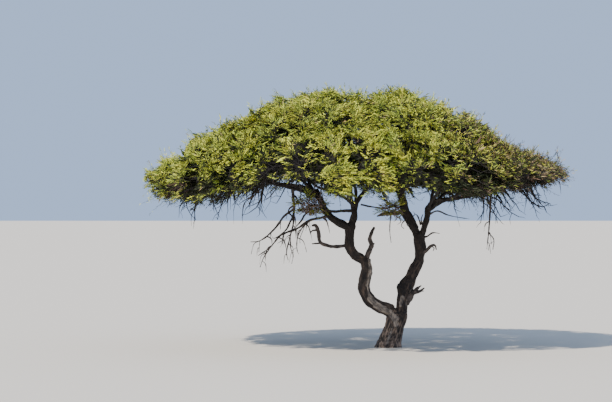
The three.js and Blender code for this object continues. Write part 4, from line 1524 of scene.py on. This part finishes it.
def openShoots(kind):
    depth = depthOf(opened.twigletEnds, opened.twigletMass)
    above = opened.twigletEnds[:, 2] - undersideZ(opened.twigletEnds)
    if kind["rise"] > 0:
        outer = (depth < shoots["deepest"]) & (above > shoots["upperFrom"])
    else:
        outer = (above < shoots["lowerTo"]) & (outShare(opened.twigletEnds) > shoots["lowerOut"])
    picked = chance.choice(np.flatnonzero(keptTwiglets & outer), kind["count"], False)
    roots = opened.twigletStarts[picked]
    outwards = unit(wayOut(roots, kind["flat"]))
    headings = unit(opened.twigletEnds[picked] - roots) * shoots["own"]
    headings = headings + outwards * kind["out"] + up * kind["rise"]
    headings = unit(headings + chance.normal(0, shoots["stray"], roots.shape))
    ends = roots + headings * chance.uniform(*kind["length"], len(roots))[:, None]
    fits = inReach(ends) & (outShare(ends) < shoots["furthest"])
    roots, ends, headings, massOf = roots[fits], ends[fits], headings[fits], opened.twigletMass[picked][fits]
    each = shoots["sprays"]
    steps = ((np.arange(each) + shoots["first"]) / (each + shoots["spare"]))[None, :, None]
    hands = inTurn(each, shoots["spread"])
    aside = unit(np.cross(headings, chance.normal(size=headings.shape)))
    stray = chance.normal(0, shoots["sprayStray"], (len(roots), each, 3))
    along = unit(headings[:, None] + aside[:, None] * hands[None, :, None] + stray)
    sizes = chance.uniform(*spray["length"], (len(roots), each)) * shoots["size"]
    return SimpleNamespace(
        starts=roots,
        ends=ends,
        sprayRoots=(roots[:, None] + (ends - roots)[:, None] * steps).reshape(-1, 3),
        sprayAlong=along.reshape(-1, 3),
        sprayFace=(up + chance.normal(0, shoots["faceStray"], along.shape)).reshape(-1, 3),
        spraySizes=sizes.reshape(-1),
        sprayMass=np.repeat(massOf, each),
    )


# How far under the crown's surface places are: below its top, in from its rim, or above its underside.
def depthOf(places, massOf, below=True):
    depth = np.zeros(len(places))
    for i, mass in enumerate(masses):
        mine = massOf == i
        depth[mine] = lobeZ(mass, places[mine]) - places[mine, 2]
    depth = np.minimum(depth, (1 - outShare(places)) * crown["reachDeep"])
    if below:
        depth = np.minimum(depth, places[:, 2] - undersideZ(places) + growth["undersideRoom"])
    return depth


# Which places are in their own mass's space, or beyond it by no more than the overlap and what stands out.
def keptIn(places, massOf, above):
    kept = np.zeros(len(places), bool)
    for i, mass in enumerate(masses):
        mine = massOf == i
        kept[mine] = inOwnSpace(mass, places[mine], -growth["overlap"], above[mine])
        if mass.tier != "clump":
            kept[mine] &= places[mine][:, 2] > undersideZ(places[mine]) - above[mine]
    return kept


# How far places are from the middle of an oval in the front view, squared: 1 at its edge.
# An oval's numbers are its middle, its half width and its half height.
def inOval(places, oval):
    x, z, wide, high = oval
    return ((places[:, 0] - x) / wide) ** 2 + ((places[:, 2] - z) / high) ** 2


# Ovals where the photo looks into the shaded inside of the crown.
hollows = [
    [-2.35, 4.62, 0.90, 0.44],
    [0.45, 4.10, 0.66, 0.40],
    [-1.05, 4.95, 0.30, 0.16],
    [-0.55, 4.70, 0.42, 0.15],
    [1.08, 4.82, 0.20, 0.12],
    [1.72, 5.24, 0.18, 0.15],
]
hollowFront = -0.6
lobeOval = [-0.85, 4.15, 1.1, 0.75]
lobeFront = -1.2
thinned = {
    "hollow": 0.80,
    "clump": 0.05,
    "under": 0.74,
    "underDepth": 0.50,
    "rimDepth": 0.40,
    "rimFrom": 0.6,
    "rimOver": 0.3,
}


# The lobe of the crown that hangs low in front, where the leaves get painted light: 1 in its middle, fading
# out.
def frontLobe(places):
    return np.exp(-inOval(places, lobeOval)) * (places[:, 1] < lobeFront)


# How deep in a hollow's column places are: 1 in its middle, 0 at its edge.
def hollowness(places):
    return np.maximum(0, np.max([1 - inOval(places, hollow) for hollow in hollows], axis=0))


def inClump(massOf):
    return np.array([mass.tier == "clump" for mass in masses])[massOf]


# What is kept of the fans: all that fits in the crown, thinned out in the hollows, the clumps and underneath.
opened = openFans()
twigletCount = len(opened.twigletEnds)
sprayTips = opened.sprayRoots + opened.sprayAlong * opened.spraySizes[:, None]
ragged = growth["ragged"][0] + np.ptp(growth["ragged"]) * chance.uniform(size=twigletCount) ** 2
keptSprays = keptIn(sprayTips, opened.sprayMass, np.repeat(ragged, fan["sprays"]) + growth["sprayRoom"])
lost = chance.uniform(size=twigletCount)[opened.sprayTwiglet]
hollow = (hollowness(sprayTips) > 0) & (sprayTips[:, 1] < hollowFront)
clumped = inClump(opened.sprayMass)
keptSprays &= ~((lost < thinned["hollow"]) & hollow) & ~((lost < thinned["clump"]) & clumped)
nearRim = np.clip((outShare(sprayTips) - thinned["rimFrom"]) / thinned["rimOver"], 0, 1)
openDepth = thinned["underDepth"] + thinned["rimDepth"] * nearRim
lowness = np.clip(1 - (sprayTips[:, 2] - undersideZ(sprayTips)) / openDepth, 0, 1)
keptSprays &= clumped | (lost > thinned["under"] * lowness * (1 - frontLobe(sprayTips)))
keptTwiglets = keptIn(opened.twigletEnds, opened.twigletMass, ragged)
keptRibs = keptIn(opened.ribEnds, fans["mass"].astype(int), np.zeros(len(opened.ribEnds)))
shot = [openShoots(shoots["upper"]), openShoots(shoots["lower"])]
for name in ("sprayRoots", "sprayAlong", "sprayFace", "spraySizes", "sprayMass"):
    setattr(opened, name, np.concatenate([getattr(opened, name), *[getattr(kind, name) for kind in shot]]))
keptSprays = np.concatenate([keptSprays, np.ones(len(opened.sprayRoots) - len(keptSprays), bool)])
keptSprays &= inReach(opened.sprayRoots + opened.sprayAlong * opened.spraySizes[:, None])
# Leaves deep inside are drawn larger and fewer.
deepness = depthOf(opened.sprayRoots, opened.sprayMass) - growth["insideFrom"]
inside = np.clip(deepness / growth["insideOver"], 0, 1)
opened.spraySizes *= 1 + growth["insideMore"] * inside
keptSprays &= chance.uniform(size=len(keptSprays)) > growth["insideLost"] * inside
keptTwiglets &= inReach(opened.twigletEnds)
keptRibs &= inReach(opened.ribEnds)
print("sprays", keptSprays.sum(), "of", len(keptSprays))


# One spray: feathery leaves to left and right along a shoot, each a kite of two triangles folded at its rib.
def sprayShape(kind):
    shape = np.random.default_rng(kind)
    corners, triangles = [], []
    for i in range(spray["leaves"]):
        hand = 1 if (i + kind) % 2 else -1
        angle = hand * spray["spread"] + shape.uniform(-spray["spreadUneven"], spray["spreadUneven"])
        length = spray["leafLength"] * shape.uniform(*spray["leafUneven"])
        width = spray["leafWidth"] * length * 0.5
        lift = shape.uniform(-spray["leafLift"], spray["leafLift"])
        ahead = np.array([math.sin(angle), math.cos(angle), lift])
        aside = np.array([math.cos(angle), -math.sin(angle), 0])
        root = np.array([0, i * (1 - spray["leafLength"]) / (spray["leaves"] - 1), 0])
        middle = root + ahead * length * spray["leafWidest"]
        raised = np.array([0, 0, spray["fold"] * width])
        start = len(corners)
        corners += [root, middle + aside * width + raised]
        corners += [root + ahead * length, middle - aside * width + raised]
        triangles += [[start, start + 1, start + 2], [start, start + 2, start + 3]]
    return np.array(corners), np.array(triangles)


shapes = [sprayShape(kind) for kind in range(spray["kinds"])]

# Leaf colours, darkest first. From deep to bright they carry painted shade and painted light: bright on the
# top and front, dark inside and below.
leafColours = {
    "deep": (0.026, 0.034, 0.010),
    "dark": (0.095, 0.115, 0.024),
    "olive": (0.175, 0.200, 0.038),
    "green": (0.265, 0.330, 0.042),
    "bright": (0.580, 0.625, 0.080),
    "straw": (0.370, 0.275, 0.125),
    "dry": (0.120, 0.078, 0.056),
}
leafLook = {
    "warm": (1.30, 1.12, 0.95),
    "cool": (0.70, 0.84, 0.95),
    "driftScale": 2.2,
    "driftGain": 1.6,
    "fineScale": 38,
    "fineGain": 1.8,
    "roughness": 0.62,
    "specular": 0.3,
}


# A leaf colour drifts a little warmer and cooler over the crown, and from leaf to leaf.
def leafMaterial(name, colour):
    material, tree, shader = newMaterial(f"leaf_{name}")
    place = objectPlace(tree)
    drift = noiseOf(tree, place, leafLook["driftScale"], 2)
    fine = noiseOf(tree, place, leafLook["fineScale"], 1)
    factor = (drift - 0.5) * leafLook["driftGain"] + (fine - 0.5) * leafLook["fineGain"] + 0.5
    tones = [tuple(np.array(colour) * leafLook[tone]) for tone in ("cool", "warm")]
    tree.links.new(mixColour(tree, factor.clamped(), *tones).socket, shader.inputs["Base Color"])
    shader.inputs["Roughness"].default_value = leafLook["roughness"]
    shader.inputs["Specular IOR Level"].default_value = leafLook["specular"]
    return material


# Ovals of dead brown leaves in front.
deadPatches = [[-5.12, 3.98, 0.20, 0.11], [-5.32, 3.70, 0.08, 0.16]]
# What makes a spray bright: a score from its place, mostly painted light and shade, and from chance, and the
# least score for each colour.
dealing = {
    "start": 0.75,
    "chance": 0.95,
    "least": {"deep": -9, "dark": 0.26, "olive": 0.42, "green": 0.58, "bright": 0.80},
    "lift": 0.12,
    "liftMost": 1.2,
    "under": 1.7,
    "underFrom": 0.10,
    "underMost": 0.8,
    "beyond": 0.35,
    "beyondRise": -8,
    "right": 0.52,
    "rightFrom": 0.9,
    "rightOver": 2.6,
    "farLeft": 0.12,
    "farLeftFrom": -4.2,
    "lobe": 0.50,
    "below": 0.34,
    "belowDepth": 0.5,
    "left": 0.7,
    "leftFrom": -2.2,
    "leftOver": 1.5,
    "shade": 0.9,
    "shadeRoom": 0.4,
    "shadeBack": 2.2,
    "turned": (0.04, 0.60),
    "dried": (0.25, 0.5),
    "strawFrom": 0.45,
    "patchDead": 0.7,
    "clump": {"dark": 0.2, "olive": 0.2, "green": 0.3, "bright": 0.15, "dry": 0.15},
}


# The colour of each spray: painted light on top and in front, painted shade inside and below, straw and dry
# leaves to the right.
def dealColours(places, massOf):
    deal, count = dealing, len(places)
    x, y, z = places.T
    centres = np.array([mass.centre for mass in masses])[massOf]
    depths = np.array([mass.size[2] for mass in masses])[massOf]
    # Painted light: the higher in its mass, the lighter a spray.
    lift = np.clip((z - centres[:, 2]) / depths, -deal["liftMost"], deal["liftMost"])
    depth = depthOf(places, massOf, False)
    # Painted shade: the deeper under the crown's surface, the darker a spray.
    under = np.clip(depth - deal["underFrom"], 0, deal["underMost"])
    # Painted light: a spray that stands out past the surface is lighter.
    beyond = np.clip(deal["beyondRise"] * depth, 0, 1)
    right = np.clip((x - deal["rightFrom"]) / deal["rightOver"], 0, 1)
    shade = hollowness(places) ** 0.5 * (y > hollowFront - deal["shadeRoom"]) * (y < deal["shadeBack"])
    # Painted light on the front lobe.
    lobe = frontLobe(places)
    left = np.clip((deal["leftFrom"] - x) / deal["leftOver"], 0, 1)
    farLeft = np.clip(deal["farLeftFrom"] - x, 0, 1)
    # Painted shade near the underside, less in the front lobe and on the left.
    below = np.clip(1 - (z - undersideZ(places)) / deal["belowDepth"], 0, 1)
    below = below * (1 - lobe) * (1 - deal["left"] * left)
    score = deal["start"] + deal["lift"] * lift - deal["under"] * under - deal["right"] * right
    score = score + deal["lobe"] * lobe - deal["below"] * below - deal["shade"] * shade
    luck = chance.uniform(-deal["chance"], deal["chance"], count)
    score += deal["farLeft"] * farLeft + deal["beyond"] * beyond + luck
    names = np.full(count, "olive", dtype=object)
    for name, least in deal["least"].items():
        names[score > least] = name
    fewTurned, moreTurned = deal["turned"]
    fewDried, moreDried = deal["dried"]
    turned = chance.uniform(size=count) < fewTurned + moreTurned * right
    dried = chance.uniform(size=count) < fewDried + moreDried * right
    names[turned & (score > deal["strawFrom"])] = "straw"
    names[turned & (score <= deal["strawFrom"]) & dried] = "dry"
    clumped = inClump(massOf)
    names[clumped] = chance.choice(list(deal["clump"]), clumped.sum(), p=list(deal["clump"].values()))
    for oval in deadPatches:
        dead = chance.uniform(size=count) < deal["patchDead"]
        names[(inOval(places, oval) < 1) & (y < 0) & dead] = "dry"
    return names


# The corners and triangles of some sprays: each kind's shape, set along, turned and sized for every spray.
def buildSprays(chosen):
    along = opened.sprayAlong[chosen]
    side = unit(np.cross(along, opened.sprayFace[chosen]))
    face = np.cross(side, along)
    frames = np.stack([side, along, face], 1) * opened.spraySizes[chosen][:, None, None]
    parts = []
    kinds = chosen % spray["kinds"]
    for kind, (corners, triangles) in enumerate(shapes):
        mine = kinds == kind
        placed = np.einsum("vi,nij->nvj", corners, frames[mine]) + opened.sprayRoots[chosen][mine][:, None]
        offsets = len(corners) * np.arange(mine.sum())[:, None, None]
        parts.append((placed.reshape(-1, 3), (triangles[None] + offsets).reshape(-1, 3)))
    return joined(parts)


foliageNodes = [f"foliage_{mass.name}" for mass in masses]
mostTriangles = 190000


# A finished piece of leaves or twigs.
def makePiece(name, shape, material, nodes):
    shown = showMesh(name, meshOf(name, *shape), material)
    declare(shown, nodes)
    return len(shown.data.polygons)


def makeFoliage():
    chosen = np.flatnonzero(keptSprays)
    colours = dealColours(opened.sprayRoots[chosen], opened.sprayMass[chosen])
    perSpray = 2 * spray["leaves"]
    total = 0
    for name, colour in leafColours.items():
        material = leafMaterial(name, colour)
        mine = chosen[colours == name]
        if not len(mine):
            continue
        pieces = math.ceil(len(mine) * perSpray / mostTriangles)
        for i, part in enumerate(np.array_split(mine, pieces)):
            total += makePiece(f"leaves_{name}_{i + 1}", buildSprays(part), material, foliageNodes)
        print("leaves", name, len(mine))
    return total


leafTriangles = makeFoliage()


# Bare twigs that hang under the crown from its lower twigs, each with a few side shoots.
hangers = {
    "count": 205,
    "near": 0.45,
    "within": (0.3, 0.84),
    "step": (0.13, 0.26),
    "steps": (3, 6),
    "radius": (0.017, 0.030),
    "outwards": 1.2,
    "flat": 0.5,
    "down": 0.5,
    "stray": 0.3,
    "bend": 0.12,
    "wander": 0.30,
    "furthest": 0.96,
    "thinning": 0.6,
    "side": (0.12, 0.36),
    "sideStray": 0.6,
    "sideBend": 0.02,
    "sideFurthest": 0.98,
    "sideThickness": (0.8, 0.6),
    "least": 0.003,
    "anywhere": 0.03,
    "most": ((-3.2, 0.9, 1.3), (2.6, 1.6, 0.55)),  # where along the crown they are many, how widely, how much
    "sides": 3,
    "pitch": 0.2,
}


def hangingChance(places):
    odds = np.full(len(places), hangers["anywhere"])
    for middle, wide, much in hangers["most"]:
        odds += much * np.exp(-(((places[:, 0] - middle) / wide) ** 2))
    return odds


def makeHangers():
    stops = np.array([place for chain in twigStops for place, radius in chain])
    nearest, furthest = hangers["within"]
    within = (outShare(stops) > nearest) & (outShare(stops) < furthest)
    low = stops[(stops[:, 2] < undersideZ(stops) + hangers["near"]) & within]
    rootShare, bendShare = hangers["sideThickness"]
    odds = hangingChance(low)
    roots = low[chance.choice(len(low), hangers["count"], True, odds / odds.sum())]
    routes = []
    for root in roots:
        outwards = unit(wayOut(root, hangers["flat"]))
        stray = chance.normal(0, hangers["stray"], 3)
        heading = unit(outwards * hangers["outwards"] + stray - up * hangers["down"])
        thick = chance.uniform(*hangers["radius"])
        steps = chance.integers(*hangers["steps"])
        place = root
        route = [[*place, thick]]
        for i in range(steps):
            heading = unit(heading - up * hangers["bend"] + chance.normal(0, hangers["wander"], 3))
            place = place + heading * chance.uniform(*hangers["step"])
            if outShare(place) > hangers["furthest"]:
                break
            thin = thick * (1 - hangers["thinning"] * (i + 1) / steps)
            route.append([*place, thin])
            aside = unit(heading + chance.normal(0, hangers["sideStray"], 3))
            far = place + aside * chance.uniform(*hangers["side"])
            if outShare(far) > hangers["sideFurthest"]:
                continue
            bend = (place + far) / 2 + chance.normal(0, hangers["sideBend"], 3)
            routes.append([[*place, thin * rootShare], [*bend, thin * bendShare], [*far, hangers["least"]]])
        if len(route) > 1:
            routes.append(route)
    return [plainTube(route, hangers["sides"], hangers["pitch"]) for route in routes]


# The two low clumps are tangles of bare, crooked twigs with few leaves.
tangles = {
    "counts": {"clump_left": 95, "clump_middle": 22},
    "within": (0.2, 1.25),
    "steps": 6,
    "step": 0.095,
    "wander": 0.75,
    "pull": 2,
    "pullFrom": 0.7,
    "radius": (0.006, 0.012),
    "thinning": 0.7,
    "lower": 0.07,
    "sides": 4,
    "pitch": 0.1,
}


def makeTangles():
    routes = []
    clumped = [mass for mass in masses if mass.tier == "clump"]
    for mass in clumped:
        for _ in range(tangles["counts"][mass.name]):
            place = mass.centre + unit(chance.normal(size=3)) * mass.size * chance.uniform(*tangles["within"])
            place[2] -= tangles["lower"]
            heading = unit(chance.normal(size=3))
            thick = chance.uniform(*tangles["radius"])
            route = [[*place, thick]]
            for i in range(tangles["steps"]):
                inwards = (mass.centre - place) / mass.size
                pull = inwards * max(0, np.linalg.norm(inwards) - tangles["pullFrom"])
                heading = unit(heading + chance.normal(0, tangles["wander"], 3) + pull * tangles["pull"])
                place = place + heading * tangles["step"]
                route.append([*place, thick * (1 - tangles["thinning"] * (i + 1) / tangles["steps"])])
            routes.append(route)
    shape = joined(plainTube(route, tangles["sides"], tangles["pitch"]) for route in routes)
    makePiece("dead_twigs", shape, paints["tangleBark"], [f"foliage_{mass.name}" for mass in clumped])


makeTangles()

fineTwigs = {"rib": 0.006, "twiglet": 0.0045}


# Every living twig: those that fork to their targets, the fans' ribs and twiglets, shoots and hanging twigs.
def makeTwigs():
    ribs = [values[keptRibs] for values in (opened.ribStarts, opened.ribEnds, opened.ribBend)]
    twiglets = [values[keptTwiglets] for values in (opened.twigletStarts, opened.twigletEnds)]
    fine = [spikes(*ribs, fineTwigs["rib"]), needles(*twiglets, fineTwigs["twiglet"])]
    shootTwigs = [needles(kind.starts, kind.ends, shoots["thickness"]) for kind in shot]
    corners, triangles = joined(twigParts + fine + shootTwigs + makeHangers())
    pieces = math.ceil(len(triangles) / mostTriangles)
    for i, part in enumerate(np.array_split(triangles, pieces)):
        used, renumbered = np.unique(part, return_inverse=True)
        shape = corners[used], renumbered.reshape(-1, 3)
        makePiece(f"twigs_{i + 1}", shape, paints["twigBark"], foliageNodes)
    return len(triangles)


twigTriangles = makeTwigs()
print("leaf triangles", leafTriangles, "twig triangles", twigTriangles)

# Floor


def makeFloor():
    half = light["floorSize"] / 2
    corners = np.array([[-half, -half, 0], [half, -half, 0], [half, half, 0], [-half, half, 0]])
    material, _, shader = newMaterial("floor")
    shader.inputs["Base Color"].default_value = (*light["floorColour"], 1)
    shader.inputs["Roughness"].default_value = light["floorRoughness"]
    floor = showMesh("floor", meshOf("floor", corners, np.array([[0, 1, 2], [0, 2, 3]])), material)


makeFloor()
